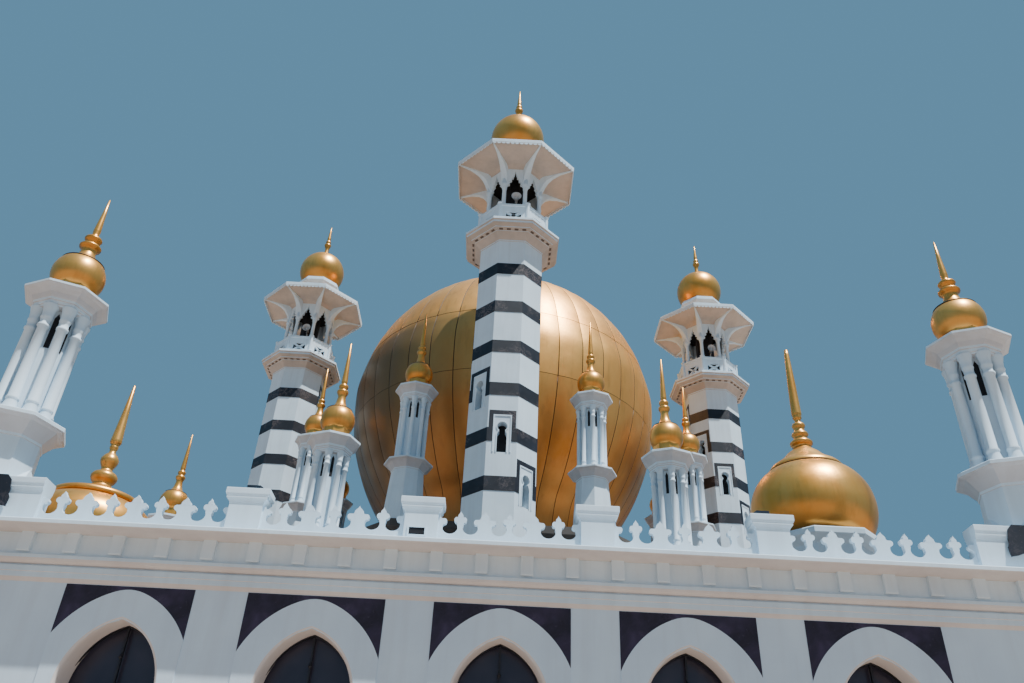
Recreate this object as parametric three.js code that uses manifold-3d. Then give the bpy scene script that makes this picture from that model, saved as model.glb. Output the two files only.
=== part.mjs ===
// Domed mosque: an arcaded front wing, an octagonal hall, four striped minarets and rings of turrets.
// Millimetres, +Z up, the arcaded front faces -Y, the origin is the middle of the footprint on the ground.
import * as THREE from 'three';
import { mergeVertices } from 'three/addons/utils/BufferGeometryUtils.js';
import Module from 'manifold-3d';

const wasm = await Module();
wasm.setup();

// Driving dimensions
const JOINT = 0.3;                       // gap left between touching pieces
const EIGHTH = Math.PI / 8;              // half the angle of one octagon side
const FRONT_Y = -18943;                  // outer face of the arcaded front wall
const HALL_Y = 5792;                     // axis of the hall and the main dome
const WING_X = 176;                      // middle of the wing, beside the hall axis
const WING_HALF = 8750;                  // half the width of the wing
const BAY = 2600;                        // spacing of the arcade
const WALL = 400;                        // thickness of the outer walls
const SLAB = 150;                        // thickness of the ground floor
const WALL_TOP = 5350;                   // underside of the wing roof
const DECK_TOP = 5820;                   // top of the wing roof and its cornice
const CORNICE_OUT = 500;                 // reach of the wing cornice beyond the wall
const SILL = 650;                        // height of the window sills
const SPRING = 3740;                     // height where the window arches spring
const OPENING_HALF = 670;                // half the width of a window
const APEX = 4630;                       // top of a window arch
const GLASS = 24;                        // thickness of the glazing
const PARAPET_IN = 45;                   // middle of the parapet inside the face of the wall
const PARAPET_X = 50;                    // middle of the front parapet beside the wing middle
const CORNER_PIER = 6910;                // parapet middle to the inner edge of a corner pier
const CORNER_BLOCK = [7450, 1120];       // inner edges of the block under a corner turret
const CORNER_RETURN = 2100;              // reach of a corner pier along the side of the wing
const CORNER_TURRET_AT = [8070, 518];    // axis of a corner turret from the parapet middle
const HALL_APOTHEM = 12900;              // hall axis to the outer face of a hall wall
const HALL_WALL_TOP = 7445;
const HALL_TOP = 7895;                   // top of the lower roof of the hall
const HALL_EAVES = 600;                  // reach of the lower roof beyond the hall walls
const DRUM_APOTHEM = 8270;               // hall axis to the outer face of the drum
const DRUM_WALL_TOP = 12100;
const DRUM_TOP = 12500;                  // top of the upper roof
const DRUM_EAVES = 650;                  // reach of the upper roof beyond the drum
const DOME_BASE_TOP = 14000;             // top of the plain ring under the main dome
const DOME_FLARE = 16350;                // top of the narrow foot of the main dome
const TOWER_AXIS = 10347;                // hall axis to the axis of a minaret
const TOWER_APOTHEM = 1215;              // minaret axis to the face of its shaft
const TOWER_TOP = 22980;                 // where the gallery corbels start
const STRIPE_TOP = 21875;                // top edge of the highest dark stripe
const STRIPE_STEP = 1762;                // spacing of the dark stripes
const GALLERY_Z = 23700;                 // floor of the gallery
const CANOPY_Z = 27210;                  // underside of the rim of the canopy
const TOWER_DRUM_TOP = 28900;            // top of the white drum under a minaret dome
const TURRET_RING = 8861;                // hall axis to the turrets of the upper ring
const LOWER_RING = [5240, 12741];        // hall axis to a turret of the lower ring, across and along

// Finishes
const PLASTER = { color: 0xd7e0e4, roughness: 0.75, metalness: 0 };
const CONCRETE = { color: 0x9e9e99, roughness: 0.9, metalness: 0 };
const GOLD = { color: 0xc8964a, roughness: 0.35, metalness: 0.9 };
const GLAZING = { color: 0x2a3034, roughness: 0.08, metalness: 0 };

const part = new THREE.Group();
part.name = 'mosque';

// Solid helpers
function toSolid(geometry) {
  const plain = geometry.clone();
  plain.deleteAttribute('normal');
  plain.deleteAttribute('uv');
  const merged = mergeVertices(plain, 1e-3);
  const mesh = new wasm.Mesh({
    numProp: 3,
    vertProperties: new Float32Array(merged.attributes.position.array),
    triVerts: new Uint32Array(merged.index.array),
  });
  mesh.merge();
  return new wasm.Manifold(mesh);
}

function toGeometry(solid) {
  const mesh = solid.getMesh();
  const geometry = new THREE.BufferGeometry();
  geometry.setAttribute('position', new THREE.BufferAttribute(new Float32Array(mesh.vertProperties), 3));
  geometry.setIndex(new THREE.BufferAttribute(new Uint32Array(mesh.triVerts), 1));
  return geometry;
}

function join(geometries) {
  return toGeometry(geometries.map(toSolid).reduce((whole, piece) => whole.add(piece)));
}

function cut(geometry, cutters) {
  return toGeometry(cutters.map(toSolid).reduce((whole, piece) => whole.subtract(piece), toSolid(geometry)));
}

function add(name, geometry, finish) {
  const mesh = new THREE.Mesh(geometry, new THREE.MeshStandardMaterial(finish));
  mesh.name = name;
  part.add(mesh);
}

function place(geometry, x, y, z, turn = 0) {
  return geometry.clone().rotateZ(turn).translate(x, y, z);
}

// A turned solid about +Z: radius and height pairs from the axis back to the axis.
// With flat sides the radii are apothems, and a flat side faces the front.
function turned(profile, sides = 8, flats = true) {
  const reach = flats ? 1 / Math.cos(Math.PI / sides) : 1;
  const points = profile.map(([radius, height]) => new THREE.Vector2(radius * reach, height));
  const geometry = new THREE.LatheGeometry(points, sides);
  return geometry.rotateX(Math.PI / 2).rotateZ(Math.PI / sides);
}

function ring(outer, inner, low, high) {
  return turned([[inner, low], [outer, low], [outer, high], [inner, high], [inner, low]]);
}

// An outline in the upright plane, extruded towards the back from y = 0
function upright(shape, depth) {
  const geometry = new THREE.ExtrudeGeometry(shape, { depth, bevelEnabled: false });
  return geometry.rotateX(Math.PI / 2).translate(0, depth, 0);
}

function flat(shape, depth) {
  return new THREE.ExtrudeGeometry(shape, { depth, bevelEnabled: false });
}

function box(width, depth, height, x, y, z) {
  return new THREE.BoxGeometry(width, depth, height).translate(x, y, z + height / 2);
}

function outline(points) {
  return new THREE.Shape(points.map(([x, z]) => new THREE.Vector2(x, z)));
}

function rectangle(left, right, low, high) {
  return [[left, low], [right, low], [right, high], [left, high]];
}

// A pointed arch outline, from one foot over the apex to the other
function archPoints(half, low, spring, apex, steps = 6) {
  const rise = apex - spring;
  const radius = (half * half + rise * rise) / (2 * half);
  const sweep = Math.asin(Math.min(1, rise / radius));
  const points = [[-half, low]];
  for (let step = 0; step <= steps; step += 1) {
    const angle = (sweep * step) / steps;
    points.push([-half + radius * (1 - Math.cos(angle)), spring + radius * Math.sin(angle)]);
  }
  const mirrored = points.slice(0, -1).reverse().map(([x, z]) => [-x, z]);
  return [...points, ...mirrored];
}

function arcadeHoles(centres, thickness) {
  const arch = upright(outline(archPoints(OPENING_HALF, SILL, SPRING, APEX)), thickness + 200);
  return centres.map((centre) => arch.clone().translate(centre, -100, 0));
}

// A wall outline extruded to its thickness, its two ends cut to the given slopes of the plan.
// It runs along x with its outer face on y = 0.
function wall(points, centres, thickness, leftSlope, rightSlope) {
  const geometry = cut(upright(outline(points), thickness), arcadeHoles(centres, thickness));
  const position = geometry.attributes.position;
  const left = Math.min(...points.map(([x]) => x));
  const right = Math.max(...points.map(([x]) => x));
  for (let index = 0; index < position.count; index += 1) {
    const x = position.getX(index);
    const inward = position.getY(index);
    if (Math.abs(x - left) < 1) position.setX(index, x + inward * leftSlope);
    if (Math.abs(x - right) < 1) position.setX(index, x - inward * rightSlope);
  }
  return geometry;
}

// A profile of outward and upward distances swept along a plan route with mitred corners
function swept(route, profile, closed) {
  const count = route.length;
  const stations = route.map(([x, y], index) => {
    const before = route[closed ? (index + count - 1) % count : Math.max(index - 1, 0)];
    const after = route[closed ? (index + 1) % count : Math.min(index + 1, count - 1)];
    const sides = [];
    if (index > 0 || closed) sides.push([x - before[0], y - before[1]]);
    if (index < count - 1 || closed) sides.push([after[0] - x, after[1] - y]);
    const normals = sides.map(([a, b]) => [b / Math.hypot(a, b), -a / Math.hypot(a, b)]);
    const sum = normals.reduce((total, [a, b]) => [total[0] + a, total[1] + b], [0, 0]);
    const scale = sum[0] * normals[0][0] + sum[1] * normals[0][1];
    return profile.map(([out, up]) => [x + (out * sum[0]) / scale, y + (out * sum[1]) / scale, up]);
  });
  const rows = profile.length;
  const faces = [];
  for (let index = 0; index < (closed ? count : count - 1); index += 1) {
    const next = (index + 1) % count;
    for (let row = 0; row < rows; row += 1) {
      const a = index * rows + row;
      const b = index * rows + ((row + 1) % rows);
      const c = next * rows + ((row + 1) % rows);
      const d = next * rows + row;
      faces.push(a, d, c, a, c, b);
    }
  }
  if (!closed) {
    const contour = profile.map(([out, up]) => new THREE.Vector2(out, up));
    const last = (count - 1) * rows;
    THREE.ShapeUtils.triangulateShape(contour, []).forEach(([a, b, c]) => {
      faces.push(a, b, c, last + a, last + c, last + b);
    });
  }
  const geometry = new THREE.BufferGeometry();
  geometry.setAttribute('position', new THREE.Float32BufferAttribute(stations.flat(2), 3));
  geometry.setIndex(faces);
  return geometry;
}

// Plan of the building
const tan = Math.tan(EIGHTH);
const hallFrontY = HALL_Y - HALL_APOTHEM;
const hallCorner = HALL_APOTHEM * tan;                       // x of the front corners of the hall
const diagonal = Math.SQRT2 * (HALL_APOTHEM - hallCorner);   // length of one hall side
const wingLeft = WING_X - WING_HALF;
const wingRight = WING_X + WING_HALF;
const meetLeft = hallFrontY - wingLeft - hallCorner;         // y where the left wing wall meets the hall
const meetRight = hallFrontY + wingRight - hallCorner;
const wingBays = [-2, -1, 0, 1, 2].map((bay) => bay * BAY);
const firstSideBay = FRONT_Y + 2000;

function octagon(apothem) {
  const reach = apothem / Math.cos(EIGHTH);
  const points = [];
  for (let corner = 0; corner < 8; corner += 1) {
    const angle = -Math.PI / 2 + EIGHTH + corner * 2 * EIGHTH;
    points.push([reach * Math.cos(angle), HALL_Y + reach * Math.sin(angle)]);
  }
  return points;
}

function floorPlan() {
  const around = octagon(HALL_APOTHEM);
  return [[wingLeft, FRONT_Y], [wingRight, FRONT_Y], [wingRight, meetRight], ...around.slice(1, 7),
    [wingLeft, meetLeft]];
}

// Ground floor, wing walls and their glazing
function addWing() {
  add('floor_slab', flat(outline(floorPlan()), SLAB), CONCRETE);

  const low = SLAB + JOINT;
  const front = wall(rectangle(-WING_HALF, WING_HALF, low, WALL_TOP), wingBays, WALL, 0, 0);
  add('front_wall', place(front, WING_X, FRONT_Y, 0), PLASTER);

  [['left_wall', -1, wingLeft, meetLeft], ['right_wall', 1, wingRight, meetRight]].forEach((entry) => {
    const [name, side, x, meet] = entry;
    const start = FRONT_Y + WALL + JOINT;
    const end = meet - JOINT;
    const middle = (start + end) / 2;
    const half = (end - start) / 2;
    const centres = wingBays.map((bay, index) => side * (firstSideBay + index * BAY - middle));
    const slopes = side < 0 ? [1, 0] : [0, 1];
    const geometry = wall(rectangle(-half, half, low, WALL_TOP), centres, WALL, ...slopes);
    add(name, place(geometry, x, middle, 0, (side * Math.PI) / 2), PLASTER);
  });

  const inset = WALL + JOINT;
  const glassEnd = meetLeft - WALL - 500;
  const route = [[wingLeft + inset, glassEnd], [wingLeft + inset, FRONT_Y + inset],
    [wingRight - inset, FRONT_Y + inset], [wingRight - inset, glassEnd]];
  add('wing_glazing', swept(route, rectangle(-GLASS, 0, SILL - 150, APEX + 150), false), GLAZING);
}

// Wing roof over the walls of the wing, with its cornice
function addWingRoof() {
  const inner = octagon(HALL_APOTHEM - WALL);
  const innerMeet = (x) => inner[0][1] + Math.abs(x) - inner[0][0];
  const plan = [[wingLeft, FRONT_Y], [wingRight, FRONT_Y], [wingRight, meetRight - JOINT],
    [wingRight - WALL, innerMeet(wingRight - WALL)], inner[0], inner[7],
    [wingLeft + WALL, innerMeet(wingLeft + WALL)], [wingLeft, meetLeft - JOINT]];
  const deck = flat(outline(plan), DECK_TOP - WALL_TOP - JOINT);
  add('wing_roof', place(deck, 0, 0, WALL_TOP + JOINT), CONCRETE);

  const route = [[wingLeft, meetLeft - 1], [wingLeft, FRONT_Y], [wingRight, FRONT_Y],
    [wingRight, meetRight - 1]];
  const profile = [[JOINT, 5150], [35, 5150], [35, 5225], [85, 5250], [85, 5350], [120, 5360], [120, 5750],
    [CORNICE_OUT, 5760], [CORNICE_OUT, DECK_TOP], [JOINT, DECK_TOP]];
  add('cornice', swept(route, profile, false), PLASTER);
}

// Crenellated parapet: a low wall with small and large three-lobed leaves in turn, between capped piers
const CREST_PITCH = 363;
const SMALL_LEAF = [[-75, 290], [-40, 370], [-104, 475], [-60, 520], [0, 605]];
const LARGE_LEAF = [[-170, 290], [-100, 370], [-175, 450], [-80, 530], [0, 605]];

function crest(length, count) {
  const silhouette = [];
  for (let index = 0; index < count; index += 1) {
    const centre = (index - (count - 1) / 2) * CREST_PITCH;
    const leaf = index % 2 ? LARGE_LEAF : SMALL_LEAF;
    leaf.forEach(([x, z]) => silhouette.push([centre + x, z]));
    leaf.slice(0, -1).reverse().forEach(([x, z]) => silhouette.push([centre - x, z]));
  }
  const whole = [[-length / 2, 0], [length / 2, 0], [length / 2, 290], ...silhouette.reverse(),
    [-length / 2, 290]];
  return upright(outline(whole), 120).translate(0, -60, 0);
}

const PIER_HALF = 247;
const PIER_SHAPE = [[1, 540], [1.3, 670], [1.32, 765]];

function pier() {
  const cap = turned([[0, 540], ...PIER_SHAPE, [0, 765]], 4).scale(PIER_HALF, 130, 1);
  return join([box(2 * PIER_HALF, 260, 550, 0, 0, 0), cap]);
}

// Straight low wall with a flared cap, from one distance along the parapet to another
function lowWall(from, to) {
  const profile = [[-130, 0], [130, 0], [130, 540], [165, 670], [170, 765], [-170, 765], [-165, 670],
    [-130, 540]];
  return swept([[from, 0], [to, 0]], profile, false);
}

function addParapets() {
  const base = DECK_TOP + JOINT;
  const clearBay = BAY - 2 * PIER_HALF;
  const endLength = CORNER_PIER - 1.5 * BAY - PIER_HALF;
  const endCentre = 1.5 * BAY + PIER_HALF + endLength / 2;
  const [blockX, blockY] = CORNER_BLOCK;
  const row = [lowWall(CORNER_PIER, blockX - JOINT), lowWall(-blockX + JOINT, -CORNER_PIER)];
  [-1.5, -0.5, 0.5, 1.5].forEach((bay) => row.push(place(pier(), bay * BAY, 0, 0)));
  [-BAY, 0, BAY].forEach((x) => row.push(place(crest(clearBay + 60, 5), x, 0, 0)));
  [-1, 1].forEach((side) => row.push(place(crest(endLength + 60, 7), side * endCentre, 0, 0)));
  add('parapet_front', place(join(row), WING_X + PARAPET_X, FRONT_Y + PARAPET_IN, base), PLASTER);

  const start = FRONT_Y + CORNER_RETURN;
  [['left', -1, wingLeft], ['right', 1, wingRight]].forEach(([name, side, face]) => {
    const middle = face + PARAPET_X - side * PARAPET_IN;
    const end = hallFrontY + Math.abs(middle) - hallCorner - 190;
    const sideRow = [lowWall(FRONT_Y + blockY + JOINT, start), lowWall(start + 4 * BAY + clearBay, end)];
    for (let bay = 0; bay < 5; bay += 1) {
      const from = start + bay * BAY;
      sideRow.push(place(crest(clearBay + 60, 5), from + clearBay / 2, 0, 0));
      if (bay < 4) sideRow.push(place(pier(), from + clearBay + PIER_HALF, 0, 0));
    }
    const whole = join(sideRow).scale(side, 1, 1);
    if (side < 0) whole.setIndex([...whole.index.array].reverse());
    add(`parapet_${name}`, place(whole, middle, 0, base, (side * Math.PI) / 2), PLASTER);
  });
}

// Turret: battered pedestal, eight columns around a core between two cornices, gold onion dome
function turret(size, finial) {
  const { foot, neck, columns, head, dome } = size;
  const pedestal = turned([[0, foot.low], [foot.half, foot.low], [neck.half, neck.high],
    [neck.cornice, columns.low - 80], [neck.cornice, columns.low], [0, columns.low]]);
  const cluster = flat(columnOutline(columns), columns.high - columns.low + 40);
  cluster.translate(0, 0, columns.low - 20);
  const top = turned([[0, columns.high], [columns.ring, columns.high], [head.half, head.low],
    [head.half, head.high], [dome.plinth, head.high], [dome.plinth, dome.low], [0, dome.low]]);
  const middle = dome.low + (dome.high - dome.low) * 0.42;
  const bulb = turned([[0, dome.low - 10], [dome.plinth + 10, dome.low - 10], [dome.half, middle],
    [dome.half * 0.86, middle + (dome.high - middle) * 0.55], [dome.half * 0.4, dome.high],
    [0, dome.high]]);
  return join([pedestal, cluster, top, bulb, turned(finial, 5)]).rotateZ(EIGHTH);
}

// Plan of the core with its eight columns standing half clear of it
function columnOutline({ ring: reach, half, core }) {
  const points = [];
  for (let index = 0; index < 8; index += 1) {
    const angle = EIGHTH + index * 2 * EIGHTH;
    const across = [Math.cos(angle), Math.sin(angle)];
    const corners = [[core, -half], [reach, -half], [reach + half, 0], [reach, half], [core, half]];
    corners.forEach(([out, side]) => {
      points.push([out * across[0] - side * across[1], out * across[1] + side * across[0]]);
    });
  }
  return outline(points);
}

const RING_TURRET = {
  foot: { half: 680, low: DRUM_TOP + JOINT },
  neck: { half: 550, high: 14500, cornice: 840 },
  columns: { low: 14870, high: 17400, ring: 480, half: 100, core: 350 },
  head: { half: 773, low: 17900, high: 18000 },
  dome: { plinth: 400, low: 18500, high: 19350, half: 540 },
};
const RING_FINIAL = [[0, 19200], [200, 19300], [130, 19600], [185, 19800], [105, 20150], [20, 21725],
  [0, 21731]];

const CORNER_TURRET = {
  foot: { half: 560, low: 6500 },
  neck: { half: 465, high: 7400, cornice: 740 },
  columns: { low: 7720, high: 9820, ring: 385, half: 90, core: 270 },
  head: { half: 683, low: 10140, high: 10210 },
  dome: { plinth: 330, low: 10600, high: 11280, half: 460 },
};
const CORNER_FINIAL = [[0, 11150], [170, 11280], [80, 11430], [140, 11560], [80, 11700], [15, 12700],
  [0, 12710]];

function addTurrets() {
  const ringTurret = turret(RING_TURRET, RING_FINIAL);
  const [across, along] = LOWER_RING;
  for (let index = 0; index < 8; index += 1) {
    const turn = (Math.floor(index / 2) * Math.PI) / 2 - Math.PI / 2;
    const side = index % 2 ? 1 : -1;
    const upper = turn + side * EIGHTH;
    const lower = turn + side * Math.atan2(across, along);
    const reach = Math.hypot(across, along);
    const spots = [['upper', upper, TURRET_RING, 0], ['lower', lower, reach, HALL_TOP - DRUM_TOP]];
    spots.forEach(([level, angle, radius, drop]) => {
      const x = Math.cos(angle) * radius;
      const y = HALL_Y + Math.sin(angle) * radius;
      add(`${level}_turret_${index + 1}`, place(ringTurret, x, y, drop), PLASTER);
    });
  }
  const low = DECK_TOP + JOINT;
  const [axisX, axisY] = CORNER_TURRET_AT;
  const [blockX, blockY] = CORNER_BLOCK;
  const width = WING_HALF + 85 - blockX;
  const depth = blockY + 85;
  [['left', -1], ['right', 1]].forEach(([name, side]) => {
    const pieces = [turret(CORNER_TURRET, CORNER_FINIAL)];
    [[0, 0, 545], [20, 540, 130], [40, 665, 100]].forEach(([out, from, high]) => {
      const x = side * (blockX + (width + out) / 2 - axisX);
      const y = (depth - out) / 2 - 85 - axisY;
      pieces.push(box(width + out, depth + out, high, x, y, low + from));
    });
    const at = WING_X + PARAPET_X + side * axisX;
    add(`corner_turret_${name}`, place(join(pieces), at, FRONT_Y + axisY, 0), PLASTER);
  });
}

// Side domes on the wing roof, a high one on the right and a low one under a wide plate on the left
function addSideDomes() {
  const low = DECK_TOP + JOINT;
  const rightDrum = turned([[0, low], [1000, low], [1000, 7600], [1180, 7700], [1180, 7840], [900, 7900],
    [0, 7900]]);
  const rightBulb = turned([[0, 7890], [980, 7890], [1210, 8250], [1250, 8600], [1140, 8980], [760, 9460],
    [0, 9470]], 12, false);
  const rightFinial = turned([[0, 9465], [770, 9465], [740, 9575], [360, 9880], [150, 10080], [235, 10170],
    [120, 10300], [180, 10400], [60, 10740], [105, 10860], [40, 12620], [0, 12640]], 8);
  const right = join([rightDrum, rightBulb, rightFinial]);
  add('side_dome_right', place(right, WING_X + 6380, FRONT_Y + 4420, 0), GOLD);

  const leftDrum = turned([[0, low], [860, low], [860, 6295], [0, 6295]]);
  const leftBulb = turned([[0, 6276], [955, 6276], [1126, 6610], [1078, 6944], [763, 7230], [0, 7240]],
    12, false);
  const leftFinial = turned([[0, 7230], [763, 7230], [754, 7342], [153, 7612], [226, 7755], [95, 7927],
    [157, 8099], [57, 8299], [105, 8471], [0, 9731]], 8);
  const left = join([leftDrum, leftBulb, leftFinial]);
  add('side_dome_left', place(left, WING_X - 7360, FRONT_Y + 2530, 0), GOLD);
}

// Eight hall wall segments; the two front diagonals step down behind the wing roof
function addHallWalls() {
  const low = SLAB + JOINT;
  const top = HALL_WALL_TOP;
  const above = DECK_TOP + JOINT;
  const half = diagonal / 2 - JOINT;
  const names = ['front', 'front_right', 'right', 'rear_right', 'rear', 'rear_left', 'left', 'front_left'];
  names.forEach((name, index) => {
    let points = rectangle(-half, half, low, top);
    let centres = [-BAY, 0, BAY];
    if (name === 'front') {
      points = rectangle(-half, half, above, top);
      centres = [];
    }
    if (name === 'front_right' || name === 'front_left') {
      const sign = name === 'front_right' ? 1 : -1;
      const wingReach = sign > 0 ? wingRight : -wingLeft;
      const edge = -diagonal / 2 + Math.SQRT2 * (wingReach - hallCorner) + 1.5;
      points = [[edge, low], [half, low], [half, top], [-half, top], [-half, above], [edge, above]];
      points = points.map(([x, z]) => [x * sign, z]);
      if (sign < 0) points.reverse();
      centres = [(sign * (edge + half)) / 2];
    }
    const geometry = wall(points, centres, WALL, tan, tan).translate(0, -HALL_APOTHEM, 0);
    add(`hall_wall_${name}`, place(geometry, 0, HALL_Y, 0, index * 2 * EIGHTH), PLASTER);
  });

  const glassEdge = octagon(HALL_APOTHEM - WALL - JOINT);
  const meet = (x) => glassEdge[0][1] + Math.abs(x) - glassEdge[0][0];
  const route = [[wingRight, meet(wingRight)], ...glassEdge.slice(1, 7), [wingLeft, meet(wingLeft)]];
  add('hall_glazing', swept(route, rectangle(-GLASS, 0, SILL - 150, APEX + 150), false), GLAZING);
}

// Lower roof, drum, upper roof, plain ring and main dome
function addHallTop() {
  const top = HALL_WALL_TOP;
  const eaves = HALL_APOTHEM + HALL_EAVES;
  const roof = turned([[0, top + JOINT], [HALL_APOTHEM, top + JOINT], [eaves, top + 200], [eaves, HALL_TOP],
    [0, HALL_TOP]]);
  const well = (reach) => turned([[0, top - 100], [reach, top - 100], [reach, HALL_TOP + 100],
    [0, HALL_TOP + 100]]);
  const holes = [well(DRUM_APOTHEM - WALL)];
  towerPlaces().forEach(([x, y, turn]) => {
    holes.push(place(well(TOWER_APOTHEM + JOINT), x, y - HALL_Y, 0, turn));
  });
  add('hall_roof', place(cut(roof, holes), 0, HALL_Y, 0), CONCRETE);

  const drum = ring(DRUM_APOTHEM, DRUM_APOTHEM - WALL, HALL_TOP + JOINT, DRUM_WALL_TOP);
  add('drum_wall', place(drum, 0, HALL_Y, 0), PLASTER);

  const reach = DRUM_APOTHEM + DRUM_EAVES;
  const upper = turned([[4600, DRUM_WALL_TOP + JOINT], [DRUM_APOTHEM, DRUM_WALL_TOP + JOINT],
    [reach, DRUM_WALL_TOP + 130], [reach, DRUM_TOP], [4600, DRUM_TOP], [4600, DRUM_WALL_TOP + JOINT]]);
  add('upper_roof', place(upper, 0, HALL_Y, 0), CONCRETE);

  const low = DRUM_TOP + JOINT;
  const high = DOME_BASE_TOP - JOINT;
  const base = turned([[4560, low], [5000, low], [5000, high], [4560, high], [4560, low]], 24, false);
  add('dome_base', place(base, 0, HALL_Y, 0), PLASTER);

  const flare = DOME_FLARE - JOINT;
  const foot = turned([[4577, DOME_BASE_TOP], [4750, DOME_BASE_TOP], [4900, 14800], [5150, 15500],
    [5750, flare], [5350, flare], [4850, 15600], [4577, DOME_BASE_TOP]], 40, false);
  add('dome_foot', place(foot, 0, HALL_Y, 0), GOLD);

  const outside = turned([[0, DOME_FLARE], [5750, DOME_FLARE], [6450, 17700], [7000, 19400], [7200, 21200],
    [7100, 22400], [6500, 24300], [5370, 26000], [3830, 27300], [2000, 28100], [0, 28400]], 40, false);
  const inside = turned([[0, DOME_FLARE - 100], [5283, DOME_FLARE - 100], [5450, 16500], [6150, 17900],
    [6650, 19600], [6850, 21200], [6150, 24200], [5000, 25800], [3500, 26950], [0, 28000]], 20, false);
  const finial = turned([[0, 28100], [420, 28200], [420, 28650], [760, 28950], [330, 29280], [560, 29680],
    [220, 30050], [0, 31900]]);
  add('main_dome', place(join([cut(outside, [inside]), finial]), 0, HALL_Y, 0), GOLD);
}

// Minarets on the four sides of the drum
function towerPlaces() {
  return [0, 1, 2, 3].map((side) => {
    const turn = (side * Math.PI) / 2;
    return [TOWER_AXIS * Math.sin(turn), HALL_Y - TOWER_AXIS * Math.cos(turn), turn];
  });
}

function keyhole() {
  return outline([[-170, -900], [170, -900], [150, -120], [205, 20], [120, 210], [-120, 210], [-205, 20],
    [-150, -120]]);
}

// Shaft with one keyhole window a face, climbing one dark stripe from face to face
function towerShaft() {
  const shaft = ring(TOWER_APOTHEM, TOWER_APOTHEM - 300, SLAB + JOINT, TOWER_TOP);
  const holes = [];
  for (let face = 0; face < 8; face += 1) {
    const stripe = face < 4 ? 5 + face : face - 3;
    const height = STRIPE_TOP - (stripe - 1) * STRIPE_STEP;
    const hole = upright(keyhole(), 500).translate(0, -TOWER_APOTHEM - 100, height);
    if (stripe < 8) holes.push(hole.rotateZ(face * 2 * EIGHTH));
  }
  return cut(shaft, holes);
}

// Gallery on corbels with its balustrade, open lantern, wide canopy and white drum
function towerLantern() {
  const floor = turned([[0, TOWER_TOP + JOINT], [TOWER_APOTHEM + 60, TOWER_TOP + JOINT], [1560, 23300],
    [1840, 23420], [1840, GALLERY_Z], [0, GALLERY_Z]]);
  const balustrade = ring(1360, 1260, GALLERY_Z - 20, 24830);
  const posts = ring(1110, 900, GALLERY_Z - 20, 27300);
  const canopy = turned([[0, 26950], [1100, 26950], [1250, 27150], [2430, CANOPY_Z], [2430, CANOPY_Z + 160],
    [950, 27750], [950, 28520], [1080, 28640], [1080, 28780], [1000, TOWER_DRUM_TOP],
    [0, TOWER_DRUM_TOP]]);
  let lantern = toSolid(join([floor, balustrade, posts, canopy]));
  for (let face = 0; face < 4; face += 1) {
    const arch = upright(outline(archPoints(295, 23900, 26000, 26890, 2)), 2320).translate(0, -1160, 0);
    const clear = upright(outline(archPoints(295, 24840, 26000, 26890, 2)), 2800).translate(0, -1400, 0);
    lantern = lantern.subtract(toSolid(arch.rotateZ(face * 2 * EIGHTH)));
    lantern = lantern.subtract(toSolid(clear.rotateZ(face * 2 * EIGHTH)));
  }
  return toGeometry(lantern);
}

function towerDome() {
  const low = TOWER_DRUM_TOP + JOINT;
  const bulb = turned([[0, low], [800, low], [1080, 29400], [1180, 29870], [1060, 30380], [830, 30710],
    [450, 30960], [0, 31040]], 12, false);
  const finial = turned([[0, 30900], [150, 31000], [110, 31600], [185, 31860], [80, 32200], [100, 32300],
    [20, 33190], [0, 33200]], 8, false);
  return join([bulb, finial]);
}

function addMinarets() {
  const shaft = towerShaft();
  const lantern = towerLantern();
  const dome = towerDome();
  const names = ['front', 'right', 'rear', 'left'];
  towerPlaces().forEach(([x, y, turn], index) => {
    add(`minaret_${names[index]}_shaft`, place(shaft, x, y, 0, turn), PLASTER);
    add(`minaret_${names[index]}_lantern`, place(lantern, x, y, 0, turn), PLASTER);
    add(`minaret_${names[index]}_dome`, place(dome, x, y, 0, turn), GOLD);
  });
}

addWing();
addWingRoof();
addParapets();
addHallWalls();
addHallTop();
addMinarets();
addTurrets();
addSideDomes();

export default part;
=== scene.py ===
import bpy
from math import acos, asin, atan2, cos, hypot, pi, radians, sin, sqrt, tan
from mathutils import Matrix, Vector, geometry


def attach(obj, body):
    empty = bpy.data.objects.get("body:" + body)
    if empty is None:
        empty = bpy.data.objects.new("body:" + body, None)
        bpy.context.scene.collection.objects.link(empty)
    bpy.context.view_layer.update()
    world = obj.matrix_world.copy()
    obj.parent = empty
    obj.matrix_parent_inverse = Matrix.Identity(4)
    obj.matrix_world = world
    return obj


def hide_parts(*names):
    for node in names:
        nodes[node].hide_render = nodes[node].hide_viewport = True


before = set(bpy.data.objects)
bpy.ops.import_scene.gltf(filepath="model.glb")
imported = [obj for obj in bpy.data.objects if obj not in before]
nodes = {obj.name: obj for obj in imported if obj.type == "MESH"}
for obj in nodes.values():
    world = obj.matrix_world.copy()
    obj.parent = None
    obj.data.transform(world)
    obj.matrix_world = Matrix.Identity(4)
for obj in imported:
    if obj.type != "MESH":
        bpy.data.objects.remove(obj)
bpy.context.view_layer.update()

# Layout in metres, the same frame as the CAD
FRONT_Y = -18.943  # outer face of the arcaded front wall
HALL_Y = 5.792  # axis of the hall and the main dome
WING_X = 0.176  # middle of the wing, beside the hall's axis
WING_HALF = 8.75
BAY = 2.6
BAYS = 5  # along the front and along each side of the wing
FIRST_SIDE_BAY = 2.0  # from the front to the middle of the first bay along a side
DECK = 5.82  # top of the wing's roof
ON_DECK = DECK + 0.001  # foot of what stands on it
HALL_APOTHEM = 12.9
TOWER_AXIS = 10.347
TURRET_RING = 8.861
LOWER_RING = (5.24, 12.741)
LOWER_DROP = 4.605  # from a turret of the upper ring down to one of the lower
EIGHTH = pi / 8
TAN_EIGHTH = tan(EIGHTH)
HALL_FRONT = HALL_Y - HALL_APOTHEM
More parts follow.
